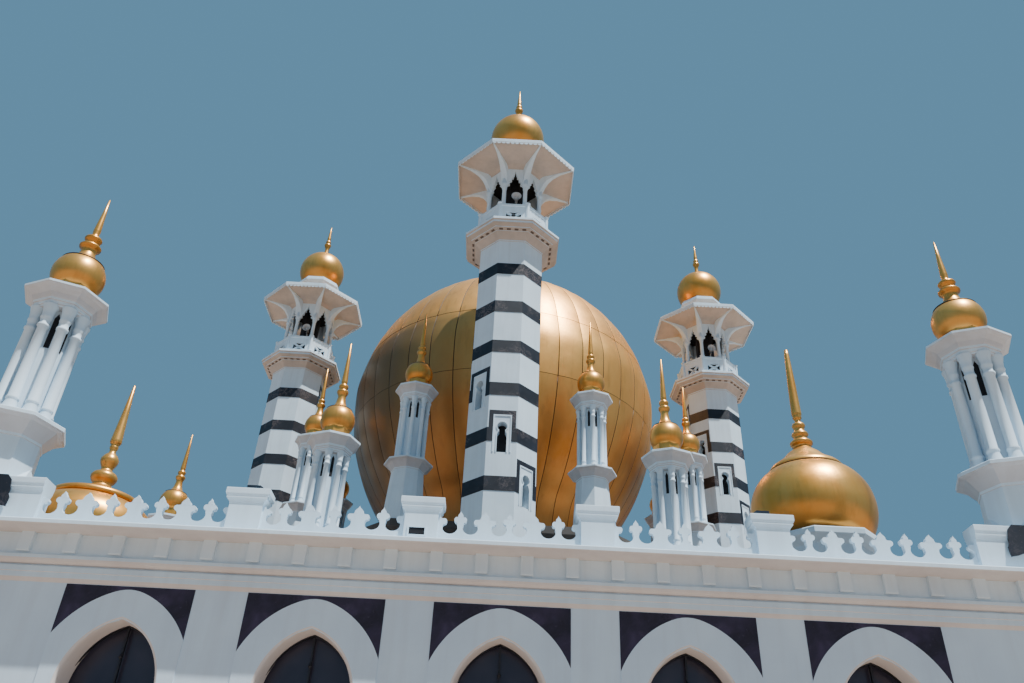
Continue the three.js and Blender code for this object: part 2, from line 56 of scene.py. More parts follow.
HALL_CORNER = HALL_APOTHEM * TAN_EIGHTH
SIDES = ((-1, "left"), (1, "right"))

# View from near the ground in front of the arcade
EYE = (WING_X - 0.0959, FRONT_Y - 11.866, 1.6)
YAW, PITCH, ROLL = 0.0042, 0.5885, 0.0487
LENS = 29.57
SENSOR = 36
VIEW_END = 500

# Even blue sky and a high sun from the right
SKY = (0.115, 0.27, 0.42, 1)
SUN_POWER = 6.9
SUN_SPREAD = radians(0.8)
SUN_COLOUR = (0.97, 1.0, 1.0)
SUN_FROM = (0.3, -0.25, 0.92)

scene = bpy.context.scene


def make_camera():
    right = Vector((cos(YAW), -sin(YAW), 0))
    ahead = Vector((sin(YAW) * cos(PITCH), cos(YAW) * cos(PITCH), sin(PITCH)))
    up = right.cross(ahead)
    right, up = (right * cos(ROLL) + up * sin(ROLL),
                 up * cos(ROLL) - right * sin(ROLL))
    data = bpy.data.cameras.new("camera")
    data.lens = LENS
    data.sensor_width = SENSOR
    data.clip_end = VIEW_END
    camera = bpy.data.objects.new("camera", data)
    scene.collection.objects.link(camera)
    camera.matrix_world = Matrix.Translation(EYE) @ Matrix((right, up, -ahead)).transposed().to_4x4()
    scene.camera = camera


def make_light():
    world = bpy.data.worlds.new("studio")
    scene.world = world
    world.use_nodes = True
    background = world.node_tree.nodes["Background"]
    background.inputs["Color"].default_value = SKY
    background.inputs["Strength"].default_value = 1.0
    key = bpy.data.lights.new("key", "SUN")
    key.energy = SUN_POWER
    key.angle = SUN_SPREAD
    key.color = SUN_COLOUR
    lamp = bpy.data.objects.new("key", key)
    scene.collection.objects.link(lamp)
    lamp.rotation_mode = "QUATERNION"
    lamp.rotation_quaternion = Vector(SUN_FROM).to_track_quat("Z", "Y")


# Node material helpers
BLACK = (0, 0, 0)
WHITE = (1, 1, 1)


def material(name):
    made = bpy.data.materials.new(name)
    made.use_nodes = True
    tree = made.node_tree
    return made, tree, tree.nodes["Principled BSDF"]


# A new node; each input is set, or linked where its value is the output of another node
def node(tree, kind, **inputs):
    made = tree.nodes.new(f"ShaderNode{kind}")
    for name, value in inputs.items():
        socket = made.inputs[name.replace("_", " ")]
        if hasattr(value, "is_output"):
            tree.links.new(value, socket)
        else:
            socket.default_value = value
    return made


def position(tree, scale=(1, 1, 1)):
    place = node(tree, "TexCoord").outputs["Object"]
    return node(tree, "Mapping", Scale=scale, Vector=place).outputs["Vector"]


def noise(tree, scale, detail, stretch=(1, 1, 1), rough=0.55, distortion=0.0):
    made = node(tree, "TexNoise", Scale=scale, Detail=detail, Roughness=rough, Distortion=distortion,
                Vector=position(tree, stretch))
    return made.outputs["Fac"]


def ramp(tree, value, *stops):
    made = node(tree, "ValToRGB", Fac=value)
    elements = made.color_ramp.elements
    while len(elements) < len(stops):
        elements.new(0.5)
    for element, (place, colour) in zip(elements, stops):
        element.position = place
        element.color = (*colour, 1)
    return made.outputs["Color"]


def blend(tree, amount, first, second, mode="MIX"):
    made = tree.nodes.new("ShaderNodeMix")
    made.data_type = "RGBA"
    made.blend_type = mode
    for name, value in (("Factor", amount), ("A", first), ("B", second)):
        socket = [s for s in made.inputs if s.name == name and s.enabled][0]
        if hasattr(value, "is_output"):
            tree.links.new(value, socket)
        else:
            socket.default_value = value if name == "Factor" else (*value, 1)
    return [s for s in made.outputs if s.enabled][0]


def value_range(tree, value, low, high, start=0.0, end=1.0):
    made = node(tree, "MapRange", Value=value, From_Min=start, From_Max=end, To_Min=low, To_Max=high)
    return made.outputs["Result"]


# Nothing below the first value, the full amount above the second
def mask(tree, value, start, end, full=1.0):
    return value_range(tree, value, 0.0, full, start, end)


def bump(tree, shader, height, strength, distance):
    made = node(tree, "Bump", Strength=strength, Distance=distance, Height=height)
    tree.links.new(made.outputs["Normal"], shader.inputs["Normal"])


# Base colour, and a roughness that drifts between two values
def finish_with(tree, shader, colour, scale, detail, smoothest, roughest):
    rough = value_range(tree, noise(tree, scale, detail), smoothest, roughest)
    tree.links.new(colour, shader.inputs["Base Color"])
    tree.links.new(rough, shader.inputs["Roughness"])


def make_plaster(name, light, dull, streak):
    made, tree, shader = material(name)
    patches = ramp(tree, noise(tree, 0.9, 6), (0.35, dull), (0.62, light))
    grime = mask(tree, noise(tree, 1.0, 6, (5.0, 5.0, 0.35), 0.6), 0.44, 0.78, 0.26)
    finish_with(tree, shader, blend(tree, grime, patches, streak), 3.0, 3, 0.62, 0.85)
    bump(tree, shader, noise(tree, 26, 5), 0.25, 0.004)
    return made


def make_marble(name, dark, body, vein, gloss):
    made, tree, shader = material(name)
    clouds = ramp(tree, noise(tree, 1.6, 8, distortion=1.2), (0.36, dark), (0.7, body))
    veins = ramp(tree, noise(tree, 3.2, 9, distortion=2.6, rough=0.7), (0.5, BLACK), (0.55, WHITE),
                 (0.61, BLACK))
    veins = blend(tree, 1.0, veins, mask(tree, noise(tree, 0.8, 4), 0.5, 0.66), "MULTIPLY")
    specks = mask(tree, noise(tree, 30, 3), 0.66, 0.76, 0.25)
    colour = blend(tree, value_range(tree, veins, 0.0, 0.75), clouds, vein)
    finish_with(tree, shader, blend(tree, specks, colour, vein), 9, 3, gloss, gloss + 0.22)
    bump(tree, shader, noise(tree, 30, 4), 0.15, 0.003)
    return made


# Share of a surface that looks down, where less light reaches it: a mask for painted shade
def painted_underside_shade(tree, strength):
    split = node(tree, "SeparateXYZ", Vector=node(tree, "NewGeometry").outputs["Normal"])
    return mask(tree, split.outputs["Z"], 0.05, -0.75, strength)


def make_gold(name, bright, worn, rough, stretch):
    made, tree, shader = material(name)
    patches = ramp(tree, noise(tree, 0.55, 7, stretch, 0.6), (0.34, worn), (0.6, bright))
    stains = mask(tree, noise(tree, 1.3, 8, (3.0, 3.0, 0.4), 0.65), 0.52, 0.8, 0.5)
    colour = blend(tree, stains, patches, (0.33, 0.15, 0.04))
    # undersides darkened to brown: painted shade
    colour = blend(tree, painted_underside_shade(tree, 0.75), colour, (0.34, 0.13, 0.02))
    finish_with(tree, shader, colour, 1.7, 5, rough - 0.06, rough + 0.12)
    shader.inputs["Metallic"].default_value = 0.82
    bump(tree, shader, noise(tree, 2.4, 3), 0.35, 0.02)
    return made


# Panels of the main dome: painted light and shade by height, a pinkish crown and browner towards the foot,
# and painted shade on the left
def make_dome_gold():
    made, tree, shader = material("dome_gold")
    split = node(tree, "SeparateXYZ", Vector=position(tree))
    height = mask(tree, split.outputs["Z"], 14.0, 28.4)
    # pinkish crown: painted light; darker brown towards the foot: painted shade and painted dark reflection
    painted_height_shade = ramp(tree, height, (0.0, (0.42, 0.13, 0.02)), (0.25, (0.48, 0.18, 0.03)),
                   (0.4, (0.74, 0.34, 0.08)), (0.58, (1.0, 0.52, 0.13)), (0.64, (1.0, 0.44, 0.11)),
                   (1.0, (1.0, 0.5, 0.16)))
    drift = noise(tree, 0.45, 6, (1, 1, 0.6), 0.6)
    tint = ramp(tree, drift, (0.36, (0.74, 0.29, 0.06)), (0.62, (1.0, 0.54, 0.16)))
    stains = mask(tree, noise(tree, 1.1, 8, (3.0, 3.0, 0.35), 0.65), 0.54, 0.82, 0.55)
    colour = blend(tree, stains, blend(tree, 0.42, painted_height_shade, tint), (0.36, 0.13, 0.035))
    # painted shade over the left side, kept off the crown
    painted_left_shade = mask(tree, split.outputs["X"], 0.5, -5.0, 0.86)
    left_shaded = blend(tree, painted_left_shade, colour, (0.13, 0.085, 0.045))
    colour = blend(tree, mask(tree, height, 0.6, 0.66), left_shaded, colour)
    finish_with(tree, shader, colour, 1.2, 5, 0.34, 0.5)
    shader.inputs["Metallic"].default_value = 0.72
    bump(tree, shader, noise(tree, 1.6, 3), 0.3, 0.03)
    return made


def make_plain(name, dark, light, scale, rough, metal=0.0):
    made, tree, shader = material(name)
    colour = ramp(tree, noise(tree, scale, 5), (0.3, dark), (0.7, light))
    finish_with(tree, shader, colour, scale * 2, 3, rough - 0.08, rough + 0.1)
    shader.inputs["Metallic"].default_value = metal
    bump(tree, shader, noise(tree, 40, 4), 0.2, 0.002)
    return made


PLASTER = make_plaster("plaster", (0.71, 0.85, 0.95), (0.65, 0.78, 0.88), (0.45, 0.49, 0.52))
WALL = make_plaster("wall_render", (0.69, 0.83, 0.95), (0.63, 0.76, 0.88), (0.48, 0.53, 0.57))
# duller, warmer plaster for reveals and cornice undersides: painted shade with warm bounce light
WARM_SHADE_PLASTER = make_plaster("warm_shade_plaster", (0.74, 0.7, 0.68), (0.67, 0.62, 0.6), (0.5, 0.45, 0.43))
# darker tan undersides of the minarets' gallery and canopy: painted shade
CANOPY_UNDERSIDE_SHADE = make_plaster("canopy_underside_shade", (0.62, 0.52, 0.45), (0.5, 0.43, 0.38), (0.3, 0.25, 0.22))
# greyer undersides of the turrets' caps: painted shade
CAP_UNDERSIDE_SHADE = make_plaster("cap_underside_shade", (0.6, 0.62, 0.65), (0.52, 0.53, 0.56), (0.34, 0.32, 0.31))
STRIPE = make_marble("stripe_marble", (0.004, 0.005, 0.01), (0.013, 0.015, 0.026),
                     (0.26, 0.2, 0.19), 0.42)
SPANDREL = make_marble("spandrel_marble", (0.014, 0.008, 0.02), (0.056, 0.036, 0.086),
                       (0.18, 0.14, 0.22), 0.4)
DOME_GOLD = make_dome_gold()
GOLD = make_gold("turret_gold", (1.0, 0.51, 0.13), (0.95, 0.38, 0.06), 0.31, (2, 2, 1))
SEAM = make_plain("gold_seam", (0.012, 0.007, 0.004), (0.05, 0.026, 0.012), 3, 0.6, 0.4)
SHADE = make_plain("bracket_shade", (0.1, 0.075, 0.06), (0.17, 0.125, 0.1), 6, 0.8)
DECKING = make_plain("roof_deck", (0.07, 0.062, 0.056), (0.12, 0.108, 0.098), 1.2, 0.85)
FRAME = make_plain("window_frame", (0.014, 0.015, 0.022), (0.03, 0.032, 0.042), 6, 0.45, 0.4)
LAMP = make_plain("floodlight", (0.008, 0.016, 0.03), (0.022, 0.036, 0.055), 8, 0.4, 0.3)
HORN = make_plain("horn_grey", (0.42, 0.44, 0.46), (0.6, 0.62, 0.63), 8, 0.45)
# near-black sheets in openings and recesses: painted shade
RECESS_SHADE = make_plain("recess_shade", (0.003, 0.003, 0.005), (0.01, 0.01, 0.014), 6, 0.85)
GLASS = make_plain("tinted_glass", (0.03, 0.028, 0.046), (0.046, 0.044, 0.068), 1.5, 0.2)

LOOKS_DOWN = -0.25  # height of the normal of a face that counts as an underside


# Gathers faces, each with a finish and shading; faces that look down can have a finish of their own
class Form:
    def __init__(self, main):
        self.points, self.faces, self.slots, self.soft = [], [], [], []
        self.finishes = [main]

    def put(self, shape, finish=None, smooth=False, at=None, under=None):
        points, faces = shape
        base = len(self.points)
        self.points += [at @ Vector(p) if at else Vector(p) for p in points]
        self.soft += [smooth] * len(faces)
        for face in faces:
            corners = [base + index for index in face]
            low = under is not None and geometry.normal([self.points[c] for c in corners]).z < LOOKS_DOWN
            self.faces.append(corners)
            self.slots.append(self.slot_of(under if low else finish or self.finishes[0]))

    def slot_of(self, finish):
        if finish not in self.finishes:
            self.finishes.append(finish)
        return self.finishes.index(finish)


def to_mesh(name, form):
    mesh = bpy.data.meshes.new(name)
    mesh.from_pydata([tuple(p) for p in form.points], [], form.faces)
    for finish in form.finishes:
        mesh.materials.append(finish)
    mesh.polygons.foreach_set("material_index", form.slots)
    mesh.polygons.foreach_set("use_smooth", form.soft)
    mesh.validate()
    mesh.update()
    return mesh


def piece(name, form, stands_for=(), at=None):
    mesh = form if isinstance(form, bpy.types.Mesh) else to_mesh(name, form)
    made = bpy.data.objects.new(name, mesh)
    scene.collection.objects.link(made)
    if at is not None:
        made.matrix_world = at
    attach(made, "root")
    if stands_for:
        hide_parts(*stands_for)


def moved(x, y, z):
    return Matrix.Translation((x, y, z))


def turned(angle, axis="Z"):
    return Matrix.Rotation(angle, 4, axis)


def spot(x, y, z=0.0, turn=0.0):
    return moved(x, y, z) @ turned(turn)


# Turned solid; with flats the radii reach to the sides of a regular polygon, one of them in front
def lathe(profile, sides=8, flats=True, closed=False):
    reach = 1 / cos(pi / sides) if flats else 1
    start = -pi / 2 + pi / sides
    points, rows = [], []
    for radius, height in profile:
        if radius < 1e-6:
            rows.append([len(points)] * sides)
            points.append((0, 0, height))
            continue
        rows.append(list(range(len(points), len(points) + sides)))
        for side in range(sides):
            angle = start + 2 * pi * side / sides
            points.append((radius * reach * cos(angle), radius * reach * sin(angle), height))
    faces = []
    pairs = list(zip(rows, rows[1:])) + ([(rows[-1], rows[0])] if closed else [])
    for lower, upper in pairs:
        for side in range(sides):
            after = (side + 1) % sides
            corners = [lower[side], lower[after], upper[after], upper[side]]
            face = [c for i, c in enumerate(corners) if c != corners[i - 1]]
            if len(face) > 2:
                faces.append(face)
    return points, faces


def round_lathe(profile, sides, closed=False):
    return lathe(profile, sides, False, closed)


# Outlines in the upright plane
def oblong(half, low, high):
    return [(-half, low), (half, low), (half, high), (-half, high)]


def hoop(half, low, high):
    return [(-half, low), (-half, high), (half, high), (half, low)]


def arc(centre, radius, start, end, steps, tall=None):
    angles = [start + (end - start) * step / steps for step in range(steps + 1)]
    return [(centre[0] + radius * cos(a), centre[1] + (tall or radius) * sin(a)) for a in angles]


# The left half of an outline up to its middle point, and the same again on the right
def mirrored(left):
    return left + [(-x, z) for x, z in reversed(left[:-1])]


def sheet(outline, y=0.0):
    return [(x, y, z) for x, z in outline], [list(range(len(outline)))]


def box(width, depth, height, x=0.0, y=0.0, z=0.0):
    a, b = width / 2, depth / 2
    points = [(x + i * a, y + j * b, z + k * height) for k in (0, 1) for j in (-1, 1) for i in (-1, 1)]
    return points, [[0, 2, 3, 1], [4, 5, 7, 6], [0, 1, 5, 4], [2, 6, 7, 3], [0, 4, 6, 2], [1, 3, 7, 5]]


# Quads between rows that have as many points each
def skin(rows, closed=False):
    count = len(rows[0])
    faces = []
    for row in range(0, (len(rows) - 1) * count, count):
        for index in range(count if closed else count - 1):
            after = (index + 1) % count
            faces.append([row + index, row + after, row + count + after, row + count + index])
    return [point for row in rows for point in row], faces


# The same rows with their quads facing the other way
def flipped(rows, closed=False):
    points, faces = skin(rows, closed)
    return points, [[a, d, c, b] for a, b, c, d in faces]


# An outline in the upright plane, extruded towards the back
def upright(outline, depth, y=0.0):
    count = len(outline)
    points, faces = flipped([[(x, y + back, z) for x, z in outline] for back in (0, depth)], closed=True)
    return points, faces + [list(range(count)), list(range(2 * count - 1, count - 1, -1))]


# Between two outlines with as many points: a band with its front, inner and outer sides
def band(inner, outer, depth, y=0.0, closed=False, back=True):
    count = len(inner)
    points = [(x, y, z) for x, z in inner + outer] + [(x, y + depth, z) for x, z in inner + outer]
    faces = []
    for index in range(count if closed else count - 1):
        after = (index + 1) % count
        a, b, c, d = index, after, count + after, count + index
        faces.append([a, b, c, d])
        faces.append([a, a + 2 * count, b + 2 * count, b])
        faces.append([d, c, c + 2 * count, d + 2 * count])
        if back:
            faces.append([a + 2 * count, d + 2 * count, c + 2 * count, b + 2 * count])
    if not closed:
        last = count - 1
        faces.append([0, count, 3 * count, 2 * count])
        faces.append([last, last + 2 * count, last + 3 * count, last + count])
    return points, faces


# A profile of outward and upward distances along a plan route with mitred corners
def sweep(route, profile):
    count = len(route)
    rows = []
    for index, (x, y) in enumerate(route):
        sides = []
        if index > 0:
            sides.append(Vector((x - route[index - 1][0], y - route[index - 1][1])).normalized())
        if index < count - 1:
            sides.append(Vector((route[index + 1][0] - x, route[index + 1][1] - y)).normalized())
        normals = [Vector((side.y, -side.x)) for side in sides]
        total = sum(normals, Vector((0, 0)))
        total = total / total.dot(normals[0])
        rows.append([(x + out * total.x, y + out * total.y, up) for out, up in profile])
    size = len(profile)
    points, faces = flipped(rows, closed=True)
    return points, faces + [list(range(size - 1, -1, -1)), list(range((count - 1) * size, count * size))]


# A smooth curve through the given points, in the given number of steps
def smooth_rows(controls, count):
    rows = []
    spans = len(controls) - 1
    for index in range(count + 1):
        t = index / count * spans
        span = min(int(t), spans - 1)
        u = t - span
        p = [Vector(controls[max(0, min(spans, span + k))]) for k in (-1, 0, 1, 2)]
        value = 0.5 * (2 * p[1] + (p[2] - p[0]) * u + (2 * p[0] - 5 * p[1] + 4 * p[2] - p[3]) * u * u
                       + (3 * p[1] - p[0] - 3 * p[2] + p[3]) * u ** 3)
        rows.append((max(value.x, 0.0), value.y))
    return rows


# Main dome: bulged gores between dark seams, with two level seams
DOME = [(4.75, 14), (4.9, 14.8), (5.15, 15.5), (5.75, 16.35), (6.45, 17.7), (7, 19.4), (7.2, 21.2),
        (7.1, 22.4), (6.5, 24.3), (5.37, 26), (3.83, 27.3), (2, 28.1), (0.55, 28.36)]
DOME_ROWS = 52
GORES = 40
GORE_SHARES = (0.0, 0.016, 0.1, 0.26, 0.5, 0.74, 0.9, 0.984)
GORE_LIFTS = (-0.045, -0.004, 0.004, 0.014, 0.02, 0.014, 0.004, -0.004)
FLATTER_WITHIN = 4.5  # radius where the gores start to flatten towards the crown
LEVEL_SEAMS = (19.95, 23.08)
SEAM_HALF = 0.012
SEAM_DEEP = 0.02
SEAM_ROW = 0.02  # rows closer than this are the two sides of a level seam
DOME_FINIAL = [
    (0, 28.2), (0.62, 28.3), (0.55, 28.45), (0.36, 28.6), (0.42, 28.75), (0.74, 28.95), (0.42, 29.15),
    (0.3, 29.3), (0.52, 29.5), (0.54, 29.65), (0.3, 29.85), (0.2, 30.05), (0.15, 30.6), (0, 31.88)
]
DOME_BASE_TRIM = (
    [(4.999, 12.502), (5.25, 12.502), (5.25, 12.86), (5.235, 12.89), (5.12, 12.93), (5.06, 13),
     (4.999, 13.02)],
    [(4.999, 13.7), (5.02, 13.71), (5.03, 13.76), (5.06, 13.8), (5.07, 13.86), (5.07, 13.95),
     (5.05, 13.99), (4.999, 13.995)])


def make_main_dome():
    rows = smooth_rows(DOME, DOME_ROWS)
    for level in LEVEL_SEAMS:
        nearest = min(range(len(rows)), key=lambda index: abs(rows[index][1] - level))
        radius = rows[nearest][0]
        rows[nearest:nearest + 1] = [(radius, level - SEAM_HALF), (radius - SEAM_DEEP, level),
                                     (radius, level + SEAM_HALF)]
    turns = [(2 * pi * (gore + share) / GORES, lift)
             for gore in range(GORES) for share, lift in zip(GORE_SHARES, GORE_LIFTS)]
    rings = []
    for radius, height in rows:
        fade = min(1.0, radius / FLATTER_WITHIN)
        rings.append([((radius + lift * fade) * cos(angle), (radius + lift * fade) * sin(angle),
                       height) for angle, lift in turns])
    points, quads = skin(rings, closed=True)
    faces, dark = [], []
    for number, face in enumerate(quads):
        row, column = divmod(number, len(turns))
        level_seam = rows[row + 1][1] - rows[row][1] < SEAM_ROW
        upright_seam = column % len(GORE_SHARES) in (0, len(GORE_SHARES) - 1)
        (dark if level_seam or upright_seam else faces).append(face)
    form = Form(DOME_GOLD)
    form.put((points, faces), smooth=True)
    form.put((points, dark), SEAM, True)
    form.put(round_lathe(DOME_FINIAL, 24), GOLD, True)
    piece("gold_dome", form, ["main_dome", "dome_foot"], spot(0, HALL_Y))
    # mouldings round the plain ring that carries the dome
    trim = Form(PLASTER)
    for profile in DOME_BASE_TRIM:
        trim.put(round_lathe(profile, 72, closed=True))
    piece("dome_base_trim", trim, at=spot(0, HALL_Y))


# Pointed arch bay: a plain arch ring between dark spandrels, a rounded reveal and the window's frame
ARCH_OFF = 0.262  # from the middle of a bay to the centre of its arcs
ARCH_STEPS = 18
SPRING = 3.74
BAY_FOOT = 0.17
RING_REACH = 1.33  # radius of the outer edge of an arch ring
RING_HALF = 0.961
END_RING_HALF = 0.9  # the leftmost ring of the front is narrower
RING_BLUNT = 0.21  # half the width of the ring's rounded point
FACE_RADIUS = 0.95  # inner edge of the ring
REVEAL = [
    (FACE_RADIUS, -0.012), (0.941, -0.009), (0.933, 0.002), (0.926, 0.025), (0.92, 0.075), (0.912, 0.36)
]
REVEAL_NARROWS = 0.9
REVEAL_FOOT = 0.66
SPANDREL_TOP = 5.068
TRANSOMS = (1.9, 3.1, 3.72)
KNOB = [(0, 4.15), (0.03, 4.19), (0.018, 4.21), (0.012, 4.24), (0, 4.25)]


def arch_line(radius, low):
    rise = acos(ARCH_OFF / radius)
    curve = arc((ARCH_OFF, SPRING), radius, pi, pi - rise, ARCH_STEPS)
    return mirrored([(ARCH_OFF - radius, low)] + curve)


# Outer edge of the ring: upright sides into a pointed arch, its point rounded off
def ring_edge(ring_half):
    start = acos((ring_half + ARCH_OFF) / RING_REACH)
    rise = acos(ARCH_OFF / RING_REACH)
    high = SPRING + RING_REACH * sin(start)
    left = [(-ring_half, BAY_FOOT), (-ring_half, SPRING), (-ring_half, (SPRING + high) / 2)]
    left += arc((ARCH_OFF, SPRING), RING_REACH, pi - start, pi - rise, ARCH_STEPS - 2)
    shoulder = sqrt(RING_REACH ** 2 - (RING_BLUNT + ARCH_OFF) ** 2)
    bend = (RING_BLUNT + ARCH_OFF) / shoulder / (2 * RING_BLUNT)
    line = []
    for x, z in mirrored(left):
        blunt = abs(x) < RING_BLUNT and z > SPRING
        line.append((x, SPRING + shoulder + bend * (RING_BLUNT ** 2 - x * x) if blunt else z))
    return line


def bay_form(ring_half):
    form = Form(WALL)
    outer = ring_edge(ring_half)
    form.put(band(arch_line(FACE_RADIUS, BAY_FOOT), outer, 0.03, -0.012, back=False))
    # rounded reveal from the face to the frame, in painted warm shade
    rows = []
    for radius, depth in REVEAL:
        narrower = 1 - REVEAL_NARROWS * (FACE_RADIUS - radius)
        rows.append([(x * narrower, depth, z) for x, z in arch_line(radius, REVEAL_FOOT)])
    form.put(flipped(rows), WARM_SHADE_PLASTER, True)
    # sill and the panel under it
    form.put(box(1.44, 0.42, 0.07, 0, 0.165, 0.61))
    form.put(box(1.47, 0.03, 0.46, 0, 0.003, BAY_FOOT))
    # spandrels fill the corners between the arch ring and the panel's top
    for side in (-1, 1):
        corner = [(x * -side, z) for x, z in outer[3: len(outer) // 2 + 1]]
        corner += [(0, SPANDREL_TOP), (side * ring_half, SPANDREL_TOP)]
        form.put(upright(corner[::-side], 0.02, -0.006), SPANDREL)
    # thin frame of the window with its mullion and transoms
    form.put(band(arch_line(0.895, 0.69), arch_line(0.924, REVEAL_FOOT), 0.05, 0.3), FRAME)
    form.put(box(0.028, 0.045, 3.88, 0, 0.33, 0.7), FRAME)
    for height in TRANSOMS:
        form.put(box(1.28, 0.04, 0.035, 0, 0.33, height), FRAME)
    form.put(lathe(KNOB), FRAME, at=moved(0, 0.3, 0))
    return form


def make_bays():
    usual = to_mesh("arch_bay", bay_form(RING_HALF))
    narrow = to_mesh("end_arch_bay", bay_form(END_RING_HALF))
    places = []
    for number in range(BAYS):
        places.append((f"front_bay_{number + 1}", WING_X + (number - 2) * BAY, FRONT_Y, 0))
        for side, name in SIDES[::-1]:
            y = FRONT_Y + FIRST_SIDE_BAY + number * BAY
            places.append((f"{name}_bay_{number + 1}", WING_X + side * WING_HALF, y, side * pi / 2))
    names = ["front_right", "right", "rear_right", "rear", "rear_left", "left", "front_left"]
    for index, name in enumerate(names):
        turn = (index + 1) * 2 * EIGHTH
        centres = [-BAY, 0, BAY]
        if name in ("front_right", "front_left"):
            sign = 1 if name == "front_right" else -1
            edge = -HALL_CORNER + sqrt(2) * (WING_HALF + sign * WING_X - HALL_CORNER)
            centres = [sign * (edge + HALL_CORNER) / 2]
        for number, along in enumerate(centres):
            x = HALL_APOTHEM * sin(turn) + along * cos(turn)
            y = HALL_Y - HALL_APOTHEM * cos(turn) + along * sin(turn)
            places.append((f"hall_{name}_bay_{number + 1}", x, y, turn))
    for name, x, y, turn in places:
        shape = narrow if name == "front_bay_1" else usual
        piece(name, shape, at=spot(x, y, 0, turn))


# Cornice: flat soffit, square blocks on a frieze, and stepped mouldings under them
CORNICE = [
    (0.001, 5.075), (0.008, 5.08), (0.04, 5.13), (0.042, 5.205), (0.052, 5.21), (0.052, 5.285),
    (0.01, 5.29), (0.01, 5.316), (0.06, 5.322), (0.105, 5.35), (0.12, 5.38), (0.12, 5.425), (0.112, 5.435),
    (0.072, 5.442), (0.06, 5.455), (0.06, 5.752), (0.45, 5.754), (0.458, 5.745), (0.49, 5.747),
    (0.499, 5.757), (0.5, 5.808), (0.492, 5.819), (0.001, 5.82)
]
BLOCK = [(0.055, 5.486), (0.112, 5.47), (0.124, 5.478), (0.128, 5.49), (0.128, 5.753), (0.055, 5.753)]
BLOCK_HALF = 0.09
BLOCK_PITCH = 0.65
FRONT_BLOCKS = 26
SIDE_BLOCKS = 22
FIRST_SIDE_BLOCK = 0.375
BLOCK_CLEAR = 0.4  # no block nearer than this to the corner where the wing meets the hall


def make_cornice():
    form = Form(PLASTER)
    left, right = WING_X - WING_HALF, WING_X + WING_HALF
    meet_left = HALL_FRONT - left - HALL_CORNER
    meet_right = HALL_FRONT + right - HALL_CORNER
    route = [(left, meet_left - 0.01), (left, FRONT_Y), (right, FRONT_Y), (right, meet_right - 0.01)]
    # undersides of the cornice in painted warm shade
    form.put(sweep(route, CORNICE), under=WARM_SHADE_PLASTER)
    block = sweep([(-BLOCK_HALF, 0), (BLOCK_HALF, 0)], BLOCK)
    for number in range(FRONT_BLOCKS // 2):
        for side in (-1, 1):
            form.put(block, at=spot(WING_X + side * (0.5 + number) * BLOCK_PITCH, FRONT_Y))
    for number in range(SIDE_BLOCKS):
        y = FRONT_Y + FIRST_SIDE_BLOCK + number * BLOCK_PITCH
        form.put(block, at=spot(right, y, 0, pi / 2))
        if y < meet_left - BLOCK_CLEAR:
            form.put(block, at=spot(left, y, 0, -pi / 2))
    piece("wing_cornice", form, ["cornice"])


# Crenellation: small and large three-lobed leaves in turn, with round gaps between their stems.
# For each leaf: half its stem, the side lobe's place and size, and the edge of the tip.
CREST_PITCH = 0.363
GAP_AT = 0.151
LEAF_FACES = (-0.06, 0.02)
STEM_TOP = 6.067
LEAVES = {
    "small": (GAP_AT, (0.056, 6.29, 0.038, 0.044),
              [(0.04, 6.338), (0.038, 6.352), (0.036, 6.368), (0.02, 6.388), (0.007, 6.406), (0, 6.428)]),
    "large": (CREST_PITCH - GAP_AT, (0.124, 6.262, 0.04, 0.042),
              [(0.08, 6.306), (0.066, 6.322), (0.062, 6.35), (0.042, 6.376), (0.016, 6.4), (0, 6.428)]),
}


def leaf_edge(kind):
    gap, (lobe, level, wide, tall), tip = LEAVES[kind]
    edge = [(gap, DECK), (gap, STEM_TOP)]
    edge += arc((gap, 6.165), 0.112, radians(-90), radians(-205), 8, 0.098)[1:]
    edge += arc((lobe, level), wide, radians(-100), radians(105), 9, tall)
    return [(x, z - DECK) for x, z in edge + tip]


# A leaf, or only its left or right half where a pier cuts it
def leaf_shape(kind, first=-1, last=1):
    edge = leaf_edge(kind)
    points, faces = [], []
    for y in LEAF_FACES:
        for x, z in edge:
            points += [(x * first, y, z), (x * last, y, z)]
    back = 2 * len(edge)
    for a in range(0, back - 2, 2):
        b, c, d = a + 1, a + 3, a + 2
        faces.append([a, b, c, d])
        faces.append([a + back, d + back, c + back, b + back])
        faces.append([b, b + back, c + back, c])
        faces.append([a, d, d + back, a + back])
    return points, faces


def put_crest(form, count, at):
    for index in range(count):
        x = (index - (count - 1) / 2) * CREST_PITCH
        form.put(leaf_shape("large" if index % 2 else "small"), at=at @ moved(x, 0, 0))
    reach = (count + 1) / 2 * CREST_PITCH
    form.put(leaf_shape("large", first=0), at=at @ moved(-reach, 0, 0))
    form.put(leaf_shape("large", last=0), at=at @ moved(reach, 0, 0))


# Rows of four points from a foot to a top, both closed
def stacked(rows):
    points, faces = skin(rows, closed=True)
    top = len(points) - 4
    return points, faces + [[3, 2, 1, 0], [top, top + 1, top + 2, top + 3]]


# Square pier or low wall: its cap steps out on the sides that stand free
CAP_TOP = 0.764
CAP_ROWS = [
    (0, 0), (0, 0.515), (0.1, 0.545), (0.34, 0.578), (0.66, 0.603), (0.7, 0.61), (0.7, 0.64), (0.86, 0.652),
    (0.96, 0.668), (1, 0.68), (1, 0.752), (0.93, CAP_TOP)
]


def capped(x0, x1, y0, y1, grow):
    left, right, front, back = grow
    rows = []
    for share, level in CAP_ROWS:
        west, east = x0 - left * share, x1 + right * share
        south, north = y0 - front * share, y1 + back * share
        rows.append([(west, south, level), (east, south, level), (east, north, level), (west, north, level)])
    return stacked(rows)


# Floodlight: a shallow tray with a sloping hood and a glass
def lamp_shape(width, depth, height):
    a, b = width / 2, depth / 2
    rows = [(0, 0), (height * 0.7, height)]
    return stacked([[(-a, -b, front), (a, -b, front), (a, b, back), (-a, b, back)] for front, back in rows])


